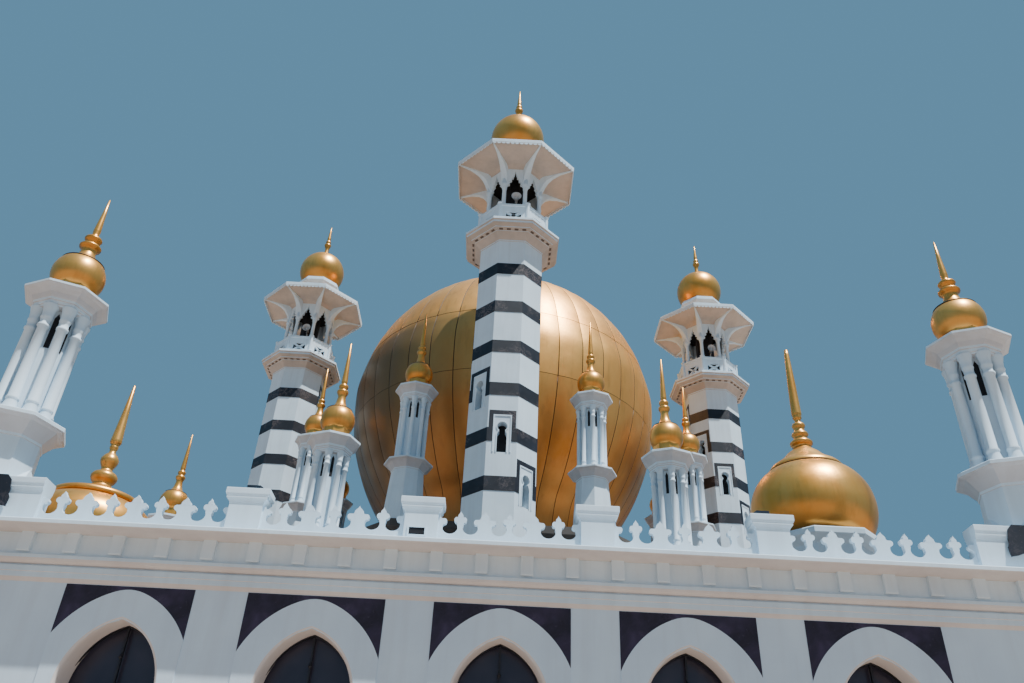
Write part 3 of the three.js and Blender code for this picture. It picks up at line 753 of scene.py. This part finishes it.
PARAPET_X = WING_X + 0.05
PARAPET_IN = 0.045  # middle of the parapet inside the face of the wall
PARAPET_Y = FRONT_Y + PARAPET_IN
PARAPET_HALF = 0.13  # half its thickness
PIER_HALF = 0.247
CAP_OUT = 0.04
CLEAR = BAY - 2 * PIER_HALF
CORNER_PIER = 6.91
CORNER_BLOCK = (7.45, 1.12)  # inner edge and depth of the block under a corner turret
CORNER_RETURN = 2.1
HALL_GAP = 0.19  # between the end of a side parapet and the hall
VENT = (0.115, 6.003, 6.113)
VENT_FRAME = (0.14, 5.98, 6.136)
LAMP_DEEP = 0.16
LAMPS = ((-3.8, 0.2, 0.1, -0.03), (3.84, 0.19, 0.1, -0.03), (-1.46, 0.2, 0.055, 0.02),
         (1.24, 0.17, 0.045, 0.04))


def make_parapets():
    form = Form(PLASTER)
    pier = capped(-PIER_HALF, PIER_HALF, -PARAPET_HALF, PARAPET_HALF, (0.079, 0.079, CAP_OUT, CAP_OUT))
    for bay in (-1.5, -0.5, 0.5, 1.5):
        form.put(pier, at=spot(PARAPET_X + bay * BAY, PARAPET_Y, ON_DECK))
    for bay in (-1, 0, 1):
        put_crest(form, 5, spot(PARAPET_X + bay * BAY, PARAPET_Y, ON_DECK))
    for side in (-1, 1):
        middle = (1.5 * BAY + PIER_HALF + CORNER_PIER) / 2
        put_crest(form, 7, spot(PARAPET_X + side * middle, PARAPET_Y, ON_DECK))
        ends = sorted((side * CORNER_PIER, side * (CORNER_BLOCK[0] - 0.001)))
        form.put(capped(*ends, -PARAPET_HALF, PARAPET_HALF, (0, 0, CAP_OUT, CAP_OUT)),
                 at=spot(PARAPET_X, PARAPET_Y, ON_DECK))
    for x, wide, tall, y in LAMPS:
        at = spot(WING_X + x, PARAPET_Y + y, ON_DECK + CAP_TOP)
        form.put(lamp_shape(wide, LAMP_DEEP, tall), LAMP, at=at)
    # vent in a raised frame on one pier, its opening a sheet of painted shade
    vent = spot(WING_X - 1.303, FRONT_Y - 0.085)
    form.put(band(hoop(*VENT), hoop(*VENT_FRAME), 0.016, -0.015, closed=True, back=False), at=vent)
    form.put(upright(oblong(*VENT), 0.006, -0.005), RECESS_SHADE, at=vent)
    piece("front_crest", form, ["parapet_front"])

    for side, name in SIDES:
        form = Form(PLASTER)
        x = PARAPET_X + side * (WING_HALF - PARAPET_IN)
        start = FRONT_Y + CORNER_RETURN
        last = start + (BAYS - 1) * BAY + CLEAR
        end = HALL_FRONT + abs(x) - HALL_CORNER - HALL_GAP
        for low, high in ((FRONT_Y + CORNER_BLOCK[1] + 0.001, start), (last, end)):
            form.put(capped(-PARAPET_HALF, PARAPET_HALF, low, high, (CAP_OUT, CAP_OUT, 0, 0)),
                     at=spot(x, 0, ON_DECK))
        for bay in range(BAYS):
            y = start + bay * BAY
            put_crest(form, 5, spot(x, y + CLEAR / 2, ON_DECK, side * pi / 2))
            if bay < BAYS - 1:
                form.put(pier, at=spot(x, y + CLEAR + PIER_HALF, ON_DECK, pi / 2))
        piece(f"{name}_crest", form, [f"parapet_{name}"])


# Minaret shaft: eight white faces with dark stripes and one keyhole window on each face but one
SHAFT = 1.212  # axis to the face of the shaft
SHAFT_ENDS = (0.15, 22.98)
FACE_HALF = SHAFT * TAN_EIGHTH
STRIPES = 6
STRIPE_TOP = 21.875
STRIPE_STEP = 1.762
STRIPE_HIGH = 0.51
STRIPE_OUT = 0.012
WINDOW_LOW, WINDOW_HIGH = -0.95, 0.7
KEYHOLE_FOOT = -0.905
RIM = 0.035  # width of the raised edge round a keyhole


# Keyhole outline: a round head, a pinched neck and a long body
def keyhole_outline(grow=0.0):
    head, body, neck = 0.17 + grow, 0.162 + grow, 0.098 + grow
    turn = acos(neck / head)
    left = [(-body, KEYHOLE_FOOT), (-body, -0.25), (-body + 0.012, -0.19), (-body + 0.045, -0.14),
            (-neck, -0.115)]
    return mirrored(left + arc((0, 0.05), head, pi + turn, pi / 2, 9))


def put_keyhole(form, at):
    hole = keyhole_outline()
    foot = -hole[0][0]
    # plain face around the opening, down to its sill
    left = [(-FACE_HALF, WINDOW_LOW), (-foot, WINDOW_LOW)] + hole[: len(hole) // 2 + 1]
    left += [(0, WINDOW_HIGH), (-FACE_HALF, WINDOW_HIGH)]
    for side in (left, [(-x, z) for x, z in reversed(left)], oblong(foot, WINDOW_LOW, KEYHOLE_FOOT)):
        form.put(sheet(side), at=at)
    form.put(band(hole, keyhole_outline(RIM), 0.3, -0.02, back=False), at=at)
    # painted shade inside the keyhole
    form.put(sheet(hole, 0.28), RECESS_SHADE, at=at)
    sill = [(-0.165, 0.1, -0.9), (0.165, 0.1, -0.9), (0.165, 0.26, -0.8), (-0.165, 0.26, -0.8)]
    form.put((sill, [[0, 1, 2, 3]]), at=at)
    # dark frame that joins the stripe, with a white one inside it
    form.put(band(hoop(0.31, -STRIPE_HIGH, 0.49), hoop(0.455, -STRIPE_HIGH, 0.66), 0.02, -0.014, back=False),
             STRIPE, at=at)
    for side in (-1, 1):
        near, far = sorted((side * 0.45, side * FACE_HALF * (SHAFT + STRIPE_OUT) / SHAFT))
        strip = [(near, -STRIPE_HIGH), (far, -STRIPE_HIGH), (far, 0), (near, 0)]
        form.put(upright(strip, STRIPE_OUT, -STRIPE_OUT), STRIPE, at=at)
    form.put(band(hoop(0.27, KEYHOLE_FOOT, 0.44), hoop(0.31, KEYHOLE_FOOT, 0.49), 0.03, -0.02, back=False),
             at=at)


def shaft_form():
    form = Form(PLASTER)
    tops = [STRIPE_TOP - number * STRIPE_STEP for number in range(STRIPES)]
    for face in range(8):
        turn = turned(face * 2 * EIGHTH)
        stripe = 5 + face if face < 4 else face - 3
        level = STRIPE_TOP - (stripe - 1) * STRIPE_STEP
        window = [level + WINDOW_LOW, level + WINDOW_HIGH] if stripe < 8 else []
        cuts = sorted({*SHAFT_ENDS, *tops, *(top - STRIPE_HIGH for top in tops), *window})
        for bottom, top in zip(cuts, cuts[1:]):
            middle = (bottom + top) / 2
            if window and window[0] < middle < window[1]:
                continue
            if not any(high - STRIPE_HIGH < middle < high for high in tops):
                form.put(sheet(oblong(FACE_HALF, bottom, top), -SHAFT), at=turn)
                continue
            reach = FACE_HALF * (SHAFT + STRIPE_OUT) / SHAFT
            points, faces = sheet(oblong(reach, bottom, top), -SHAFT - STRIPE_OUT)
            points += sheet(oblong(FACE_HALF, bottom, top), -SHAFT)[0]
            form.put((points, faces + [[4, 5, 1, 0], [3, 2, 6, 7]]), STRIPE, at=turn)
        if window:
            put_keyhole(form, turn @ moved(0, -SHAFT, level))
    return form


# Gallery, balustrade, open lantern, canopy and the white drum above it
GALLERY = [
    (1.212, 22.98), (1.232, 22.985), (1.232, 23.04), (1.26, 23.055), (1.34, 23.15), (1.44, 23.26),
    (1.47, 23.285), (1.47, 23.31), (1.6, 23.345), (1.62, 23.36), (1.62, 23.4), (1.79, 23.45), (1.8, 23.47),
    (1.8, 23.56), (1.84, 23.575), (1.85, 23.59), (1.85, 23.685), (1.84, 23.7), (0.9, 23.7), (0.9, 22.98)
]
GALLERY_SLOPE = atan2(0.035, 0.13)
BALUSTRADE = 1.36  # axis to the outer face of the balustrade
FLOOR = 23.7
ARCADE = 1.1  # axis to the outer face of the lantern's arches
ARCADE_TOP = 27.1
CUSP_FOOT = 25.98
CUSPS = [
    (0.325, CUSP_FOOT), (0.322, 26.08), (0.27, 26.13), (0.212, 26.14), (0.248, 26.21), (0.246, 26.28),
    (0.195, 26.33), (0.138, 26.34), (0.168, 26.41), (0.16, 26.47), (0.112, 26.51), (0.066, 26.52),
    (0.088, 26.59), (0.07, 26.65), (0.032, 26.68), (0.026, 26.74), (0.016, 26.8), (0, 26.88)
]
LANTERN_COLUMN = [
    (0, 23.7), (0.115, 23.7), (0.115, 24.95), (0.125, 24.96), (0.125, 25), (0.1, 25.03), (0.108, 25.07),
    (0.088, 25.11), (0.086, 25.14), (0.082, 25.88), (0.1, 25.9), (0.1, 25.94), (0.082, 25.97), (0.1, 26.02),
    (0.138, 26.1), (0.14, 26.16), (0.115, 26.18), (0.12, 27), (0, 27)
]
# reach, half the width, underside and top of a rib
RIB = [(1.14, 0.13, 26.2, 27.12), (1.22, 0.13, 26.42, 27.14), (1.32, 0.125, 26.66, 27.16),
       (1.46, 0.11, 26.86, 27.18), (1.68, 0.085, 27.02, 27.2), (2.02, 0.055, 27.13, 27.22),
       (2.55, 0.025, 27.175, 27.23)]
RIM_FACE = 2.43  # axis to the outer face of the canopy's rim
RIM_LOW, RIM_HIGH = 27.2, 27.36
LOBES = 11
HORN_BELL = [
    (0, -0.42), (0.05, -0.42), (0.055, -0.28), (0.09, -0.2), (0.15, -0.08), (0.2, 0), (0.208, 0.01),
    (0.196, 0.012), (0.14, -0.07), (0.08, -0.17), (0.04, -0.24)
]
HORN_THROAT = [(0.04, -0.24), (0.075, -0.2), (0.08, -0.13), (0.05, -0.09), (0, -0.08)]
CANOPY = [
    (0, 27), (1.13, 27), (1.15, 27.06), (1.24, 27.13), (1.3, 27.15), (2.34, 27.225), (2.36, 27.22),
    (2.36, 27.19), (2.425, 27.19), (2.43, 27.2), (2.43, 27.355), (2.42, 27.37), (1.02, 27.7), (1, 27.74),
    (0.95, 27.76), (0.95, 28.5), (0.98, 28.54), (1.06, 28.62), (1.08, 28.65), (1.08, 28.76), (1.06, 28.79),
    (1, 28.81), (1, 28.895), (0, 28.9)
]


# One side of the gallery: dark slots between its corbels, and a panel pierced with a cross
def put_balustrade(form, turn):
    for number in range(4):
        slot = moved((number - 1.5) * 0.3, -1.535, 23.327) @ turned(-GALLERY_SLOPE, "X")
        form.put(box(0.15, 0.075, 0.03, 0, 0, -0.015), SHADE, at=turn @ slot)
    half = BALUSTRADE * TAN_EIGHTH
    form.put(upright(oblong(half, 24.7, 24.8), 0.13, -BALUSTRADE - 0.02), at=turn)
    form.put(upright(oblong(half, FLOOR, 23.96), 0.1, -BALUSTRADE), at=turn)
    panel = oblong(half, 23.96, 24.7)
    form.put(band(oblong(0.3, 23.98, 24.4), panel, 0.08, -BALUSTRADE + 0.01, closed=True), at=turn)
    # painted shade behind the pierced panel
    form.put(sheet(oblong(0.31, 23.97, 24.41), -BALUSTRADE + 0.085), RECESS_SHADE, at=turn)
    for lean in (-1, 1):
        bar = moved(0, -BALUSTRADE + 0.05, 24.19) @ turned(lean * atan2(0.42, 0.6), "Y")
        form.put(box(0.73, 0.07, 0.085, 0, 0, -0.0425), at=turn @ bar)
    form.put(box(0.15, 0.07, 0.15, 0, -BALUSTRADE + 0.05, 24.115), at=turn)
    post = [(0, FLOOR), (0.075, FLOOR), (0.075, 24.8), (0.1, 24.82), (0.1, 24.86), (0, 24.9)]
    form.put(lathe(post), at=turn @ turned(EIGHTH) @ moved(0, -BALUSTRADE / cos(EIGHTH) + 0.03, 0))


# Wide arch of the lantern with its cusps, and the column at its right
def put_cusped_arch(form, turn):
    side = ARCADE * TAN_EIGHTH
    inner = mirrored([(-x, z) for x, z in CUSPS])
    outer = []
    for index in range(len(inner)):
        share = index / (len(inner) - 1)
        climb = min(share, 1 - share) / 0.25
        across = max(-1, min(1, 4 * share - 2))
        outer.append((side * across, CUSP_FOOT + (ARCADE_TOP - CUSP_FOOT) * min(1, climb)))
    form.put(band(inner, outer, 0.12, -ARCADE), at=turn)
    form.put(upright(oblong(0.36, FLOOR, 23.9), 0.1, -1.08), at=turn)
    corner = turn @ turned(EIGHTH) @ moved(0, -ARCADE / cos(EIGHTH) + 0.075, 0)
    form.put(round_lathe(LANTERN_COLUMN, 14), smooth=True, at=corner)


# Rib from a column's head to the canopy's corner, wide at its foot, and the scalloped valance
def put_canopy_side(form, turn):
    rows = []
    for reach, wide, low, high in RIB:
        half = [(-wide, high), (-wide, low + 0.03), (-wide * 0.6, low)]
        rows.append([(reach, y, z) for y, z in half + [(-y, z) for y, z in reversed(half)]])
    form.put(skin(rows), at=turn @ turned(EIGHTH - pi / 2))
    reach = RIM_FACE * TAN_EIGHTH
    edge = [(-reach, RIM_HIGH), (-reach, RIM_LOW)]
    for lobe in range(LOBES):
        centre = -reach + reach * 2 * (lobe + 0.5) / LOBES
        edge += arc((centre, RIM_LOW), reach / LOBES * 0.98, pi, 2 * pi, 5)
    edge += [(reach, RIM_LOW), (reach, RIM_HIGH)]
    form.put(upright(edge, 0.03, -RIM_FACE + 0.005), at=turn)


def put_horn(form, turn):
    at = turn @ moved(0.08, -1.04, 25.56) @ turned(pi / 2, "X")
    form.put(round_lathe(HORN_BELL, 20), HORN, True, at=at)
    form.put(round_lathe(HORN_THROAT, 16), HORN, True, at=at)
    form.put(box(0.03, 0.03, 1.7, 0.08, -0.72, FLOOR), HORN, at=turn)
    form.put(box(0.03, 0.3, 0.03, 0.08, -0.72, 25.36), HORN, at=turn)


def lantern_form():
    form = Form(PLASTER)
    form.put(lathe(GALLERY, closed=True), under=CANOPY_UNDERSIDE_SHADE)
    for face in range(8):
        turn = turned(face * 2 * EIGHTH)
        put_balustrade(form, turn)
        put_cusped_arch(form, turn)
        put_canopy_side(form, turn)
        if face % 2 == 0:
            put_horn(form, turn)
    form.put(lathe(CANOPY), under=CANOPY_UNDERSIDE_SHADE)
    # core and ceiling as painted shade
    form.put(lathe([(0, FLOOR), (0.42, FLOOR), (0.42, 27), (0, 27)]), RECESS_SHADE)
    form.put(lathe([(0, 26.985), (1.08, 26.985), (1.08, 26.995), (0, 26.995)]), RECESS_SHADE)
    return form


TOWER_BULB = (29.87, 1.17)  # middle and radius of a minaret's dome
TOWER_FINIAL = [
    (0.135, 31.045), (0.13, 31.08), (0.112, 31.25), (0.1, 31.45), (0.1, 31.62), (0.15, 31.72),
    (0.178, 31.81), (0.18, 31.87), (0.12, 31.91), (0.1, 31.96), (0.135, 32.03), (0.137, 32.09),
    (0.09, 32.15), (0.075, 32.2), (0.095, 32.27), (0.093, 32.33), (0.05, 32.8), (0.022, 33.17), (0, 33.19)
]


def tower_dome_form():
    form = Form(GOLD)
    middle, radius = TOWER_BULB
    low = -asin(0.965 / radius)
    high = pi / 2 - asin(0.13 / radius)
    bulb = arc((0, middle), radius, low, high, 26)
    form.put(round_lathe([(0, 28.906), (bulb[0][0], 28.906)] + bulb + TOWER_FINIAL, 40), smooth=True)
    return form


def make_minarets():
    forms = {"shaft": shaft_form(), "lantern": lantern_form(), "dome": tower_dome_form()}
    meshes = {part: to_mesh(f"tower_{part}", form) for part, form in forms.items()}
    for index, name in enumerate(("front", "right", "rear", "left")):
        turn = index * pi / 2
        at = spot(TOWER_AXIS * sin(turn), HALL_Y - TOWER_AXIS * cos(turn), 0, turn)
        for part, mesh in meshes.items():
            piece(f"tower_{name}_{part}", mesh, [f"minaret_{name}_{part}"], at)


# Turret: battered foot, eight round columns round a core, two cornices, gold onion dome.
# The columns' rows give shares of their radius and heights from their foot and from their head.
COLUMN_FOOT = [
    (1.7, -0.02), (1.7, 0.05), (1.62, 0.09), (1.36, 0.17), (1.18, 0.24), (1.16, 0.26), (1.3, 0.28),
    (1.3, 0.31), (1.1, 0.33)
]
COLUMN_WAIST = 1.06
COLUMN_HEAD = [
    (1, -0.44), (1.24, -0.42), (1.24, -0.385), (1, -0.37), (1.04, -0.28), (1.22, -0.25), (1.22, -0.22),
    (1.12, -0.2), (1.25, -0.1), (1.62, 0.01), (1.62, 0.03)
]
CROWN_SEAM = [(-0.01, -0.012), (0.012, -0.006), (0.012, 0.01), (-0.01, 0.014)]
RING_TURRET = {
    "foot": (0.68, 12.501), "neck": (0.55, 14.5), "plate": (0.84, 0.065), "columns": (14.87, 17.44),
    "ring": 0.48, "radius": 0.076, "core": 0.35, "band": (0.4, 18, 18.39), "sphere": (18.74, 0.54),
    "crown": 19.1,
    "cap": [(0.51, 17.44), (0.51, 17.47), (0.535, 17.48), (0.54, 17.53), (0.56, 17.55), (0.56, 17.58),
            (0.575, 17.6), (0.585, 17.67), (0.6, 17.7), (0.635, 17.79), (0.69, 17.865),
            (0.755, 17.905), (0.765, 17.915), (0.773, 17.93), (0.773, 17.99), (0.765, 18), (0, 18.01)],
    "finial": [
        (0.392, 19.107), (0.345, 19.13), (0.27, 19.185), (0.205, 19.27), (0.16, 19.38), (0.124, 19.6),
        (0.14, 19.68), (0.175, 19.74), (0.187, 19.79), (0.18, 19.83), (0.12, 19.87), (0.11, 19.9),
        (0.145, 19.95), (0.155, 20), (0.145, 20.04), (0.09, 20.07), (0.08, 20.11), (0.098, 20.15),
        (0.1, 20.19), (0.062, 20.95), (0.022, 21.7), (0, 21.73)
    ],
}
CORNER_TURRET = {
    "foot": (0.49, 6.5), "neck": (0.465, 7.36), "plate": (0.74, 0.07), "columns": (7.72, 9.84),
    "ring": 0.385, "radius": 0.08, "core": 0.27, "band": (0.33, 10.21, 10.47), "sphere": (10.78, 0.46),
    "crown": 11.06,
    "cap": [(0.43, 9.84), (0.43, 9.87), (0.45, 9.88), (0.455, 9.93), (0.475, 9.94), (0.48, 9.98),
            (0.5, 10), (0.53, 10.06), (0.6, 10.12), (0.665, 10.145), (0.675, 10.155), (0.683, 10.165),
            (0.683, 10.205), (0.675, 10.21), (0, 10.22)],
    "finial": [
        (0.355, 11.067), (0.31, 11.085), (0.245, 11.13), (0.185, 11.2), (0.15, 11.28), (0.124, 11.38),
        (0.15, 11.43), (0.19, 11.46), (0.195, 11.49), (0.17, 11.52), (0.1, 11.55), (0.095, 11.59),
        (0.14, 11.63), (0.158, 11.67), (0.145, 11.7), (0.065, 11.74), (0.058, 11.8), (0.066, 11.87),
        (0.066, 11.9), (0.04, 12.3), (0.014, 12.69), (0, 12.7)
    ],
}
CORNER_TURRET_AT = (8.07, 0.518)


def turret_form(size):
    form = Form(PLASTER)
    foot, (neck, neck_z), (plate, thick) = size["foot"], size["neck"], size["plate"]
    low, high = size["columns"]
    radius, ring, core = size["radius"], size["ring"], size["core"]
    rim = low - thick
    form.put(lathe([(0, foot[1]), foot, (neck, neck_z), (neck + 0.012, neck_z + 0.01),
                    (neck + 0.018, neck_z + 0.05), (neck + 0.05, neck_z + 0.09), (neck + 0.13, rim - 0.09),
                    (plate - 0.1, rim - 0.03), (plate - 0.03, rim - 0.012), (plate - 0.02, rim),
                    (plate, rim + 0.003), (plate, low - 0.012), (plate - 0.012, low), (0, low)]),
             under=CAP_UNDERSIDE_SHADE)
    column = [(0, low - 0.02)] + [(radius * share, low + z) for share, z in COLUMN_FOOT]
    column += [(radius * COLUMN_WAIST, (low + high) / 2)]
    column += [(radius * share, high + z) for share, z in COLUMN_HEAD] + [(0, high + 0.03)]
    shape = round_lathe(column, 16)
    slit = [(-0.042, high - 0.75), (0.042, high - 0.75), (0.042, high - 0.16), (0, high - 0.06),
            (-0.042, high - 0.16)]
    for index in range(8):
        angle = EIGHTH + index * 2 * EIGHTH
        form.put(shape, smooth=True, at=moved(ring * cos(angle), ring * sin(angle), 0))
        # slit of painted shade in the head of the core between two columns
        form.put(upright(slit, 0.03, -core - 0.008), RECESS_SHADE, at=turned(index * 2 * EIGHTH))
    form.put(lathe([(0, low - 0.01), (core, low - 0.01), (core, high + 0.02), (0, high + 0.02)]))
    form.put(lathe([(0, high)] + size["cap"]), under=CAP_UNDERSIDE_SHADE)
    band_half, band_low, band_high = size["band"]
    form.put(lathe([(0, band_low), (band_half, band_low), (band_half, band_high), (0, band_high)]), GOLD)
    centre, reach = size["sphere"]
    start = asin((band_high - 0.01 - centre) / reach)
    end = asin((size["crown"] - centre) / reach)
    rows = arc((0, centre), reach, start, end, 18)
    crown, crown_z = rows[-1]
    form.put(round_lathe([(0, rows[0][1])] + rows + [(0, crown_z + 0.001)], 32), GOLD, True)
    form.put(round_lathe([(crown + out, crown_z + up) for out, up in CROWN_SEAM], 32, True), SEAM, True)
    form.put(round_lathe([(0, crown_z)] + size["finial"], 24), GOLD, True)
    return form


# Loose dark slab with a ragged edge in front of a corner block
SLAB = [
    (7.47, 6.595), (7.4, 6.52), (7.385, 6.44), (7.36, 6.36), (7.365, 6.3), (7.33, 6.24), (7.34, 6.1),
    (7.46, 6.125), (7.57, 6.17), (7.72, 6.14), (7.95, 6.155), (8.2, 6.12), (8.45, 6.15), (8.7, 6.12),
    (8.76, 6.22), (8.73, 6.33), (8.77, 6.45), (8.75, 6.595)
]


def corner_block(side):
    form = Form(PLASTER)
    inner, deep = CORNER_BLOCK
    ends = sorted((side * inner, side * (WING_HALF + 0.085)))
    grow = (0, CAP_OUT) if side > 0 else (CAP_OUT, 0)
    form.put(capped(*ends, -0.085, deep, (*grow, CAP_OUT, 0)))
    form.put(upright([(side * x, z - DECK) for x, z in SLAB][::side], 0.022, -0.152), STRIPE)
    return form


def make_turrets():
    mesh = to_mesh("ring_turret", turret_form(RING_TURRET))
    mesh.transform(turned(EIGHTH))
    lower = (atan2(*LOWER_RING), hypot(*LOWER_RING))
    for index in range(8):
        turn = (index // 2) * pi / 2 - pi / 2
        side = 1 if index % 2 else -1
        for level, angle, radius, drop in (("upper", EIGHTH, TURRET_RING, 0), ("lower", *lower, LOWER_DROP)):
            angle = turn + side * angle
            at = spot(radius * cos(angle), HALL_Y + radius * sin(angle), -drop)
            number = index + 1
            piece(f"{level}_ring_turret_{number}", mesh, [f"{level}_turret_{number}"], at=at)
    form = turret_form(CORNER_TURRET)
    # spreading foot under four of the pedestal's edges
    wedge = ([(0.6, -0.3, 6.583), (0.6, 0.3, 6.583), (0.3, 0.42, 6.583), (0.3, -0.42, 6.583),
              (0.5, 0, 6.98)], [[0, 1, 4], [1, 2, 4], [3, 0, 4], [2, 3, 4], [3, 2, 1, 0]])
    for index in range(4):
        form.put(wedge, at=turned(index * pi / 2 - EIGHTH))
    mesh = to_mesh("corner_turret", form)
    mesh.transform(turned(EIGHTH))
    x, y = CORNER_TURRET_AT
    for side, name in SIDES:
        at = spot(PARAPET_X + side * x, FRONT_Y + y)
        piece(f"{name}_corner_turret", mesh, [f"corner_turret_{name}"], at=at)
        at = spot(PARAPET_X, FRONT_Y, ON_DECK)
        piece(f"{name}_corner_block", corner_block(side), at=at)


# Side domes on the wing roof: smooth gold bulbs on white drums, each under a wide gold plate
SIDE_DOMES = {
    "right": {
        "at": (6.38, 4.42), "drum_sides": 8, "bulb_rows": 26, "lid_sides": 40,
        "drum": [(0, ON_DECK), (1, ON_DECK), (1, 7.56), (1.03, 7.6), (1.1, 7.66), (1.155, 7.7),
                 (1.17, 7.72), (1.17, 7.82), (1.16, 7.84), (0, 7.87)],
        "bulb": [(0.98, 7.88), (1.12, 8.05), (1.225, 8.32), (1.25, 8.62), (1.19, 8.94), (1.04, 9.22),
                 (0.86, 9.4), (0.77, 9.455)],
        "bulb_ends": (7.87, 9.456),
        "seam": [(0.75, 9.446), (0.8, 9.452), (0.8, 9.462), (0.75, 9.466)],
        "lid": [
            (0, 9.456), (0.72, 9.456), (0.765, 9.462), (0.782, 9.478), (0.78, 9.5), (0.735, 9.565),
            (0.7, 9.6), (0.55, 9.7), (0.42, 9.82), (0.355, 9.9), (0.255, 9.98), (0.19, 10.05),
            (0.175, 10.085), (0.205, 10.11), (0.236, 10.15), (0.24, 10.19), (0.2, 10.23), (0.145, 10.27),
            (0.135, 10.31), (0.16, 10.345), (0.18, 10.385), (0.165, 10.42), (0.115, 10.46), (0.106, 10.52),
            (0.125, 10.56), (0.143, 10.61), (0.125, 10.65), (0.068, 10.69), (0.057, 10.735), (0.075, 10.77),
            (0.1, 10.81), (0.085, 10.85), (0.107, 10.885), (0.107, 10.92), (0.087, 11.7), (0.055, 12.47),
            (0.04, 12.61), (0, 12.63)
        ],
    },
    "left": {
        "at": (-7.36, 2.53), "drum_sides": 16, "bulb_rows": 22, "lid_sides": 44,
        "drum": [(0, ON_DECK), (0.86, ON_DECK), (0.86, 6.29), (0, 6.29)],
        "bulb": [(0.905, 6.276), (1.04, 6.42), (1.118, 6.62), (1.12, 6.8), (1.05, 6.98), (0.9, 7.14),
                 (0.745, 7.225)],
        "bulb_ends": (6.276, 7.226),
        "seam": [(0.71, 7.205), (0.76, 7.212), (0.76, 7.226), (0.71, 7.224)],
        "lid": [
            (0, 7.226), (0.7, 7.226), (0.745, 7.216), (0.772, 7.238), (0.782, 7.272), (0.776, 7.305),
            (0.752, 7.332), (0.7, 7.345), (0.52, 7.38), (0.36, 7.45), (0.24, 7.535), (0.165, 7.605),
            (0.165, 7.635), (0.205, 7.68), (0.23, 7.735), (0.232, 7.78), (0.2, 7.83), (0.12, 7.875),
            (0.098, 7.915), (0.105, 7.95), (0.14, 8.02), (0.158, 8.075), (0.158, 8.12), (0.12, 8.19),
            (0.062, 8.25), (0.056, 8.3), (0.075, 8.345), (0.078, 8.38), (0.062, 8.405), (0.088, 8.44),
            (0.105, 8.475), (0.1, 8.52), (0.06, 9.1), (0.022, 9.7), (0, 9.725)
        ],
    },
}


def make_side_domes():
    for name, size in SIDE_DOMES.items():
        form = Form(GOLD)
        x, y = size["at"]
        low, high = size["bulb_ends"]
        form.put(lathe(size["drum"], size["drum_sides"]), PLASTER)
        bulb = smooth_rows(size["bulb"], size["bulb_rows"])
        form.put(round_lathe([(0, low)] + bulb + [(0, high)], 72), smooth=True)
        form.put(round_lathe(size["lid"], size["lid_sides"]), smooth=True)
        form.put(round_lathe(size["seam"], size["lid_sides"], closed=True), SEAM, True)
        piece(f"{name}_dome", form, [f"side_dome_{name}"], spot(WING_X + x, FRONT_Y + y))


def dress_cad():
    finishes = {"floor_slab": DECKING, "wing_roof": DECKING, "hall_roof": DECKING, "upper_roof": DECKING,
                "wing_glazing": GLASS, "hall_glazing": GLASS}
    for name, made in nodes.items():
        made.data.materials.clear()
        made.data.materials.append(finishes.get(name, WALL))


# Pale ground around the building
GROUND_REACH = 160
GROUND_Z = -0.02


def make_stage():
    mesh = bpy.data.meshes.new("floor")
    reach = GROUND_REACH
    corners = ((-reach, -reach), (reach, -reach), (reach, reach), (-reach, reach))
    mesh.from_pydata([(x, y, GROUND_Z) for x, y in corners], [], [(0, 1, 2, 3)])
    floor = bpy.data.objects.new("floor", mesh)
    scene.collection.objects.link(floor)
    mesh.materials.append(make_plain("pale_floor", (0.36, 0.26, 0.195), (0.42, 0.305, 0.23), 0.2, 0.9))


make_camera()
make_light()
make_stage()
dress_cad()
make_main_dome()
make_bays()
make_cornice()
make_parapets()
make_minarets()
make_turrets()
make_side_domes()
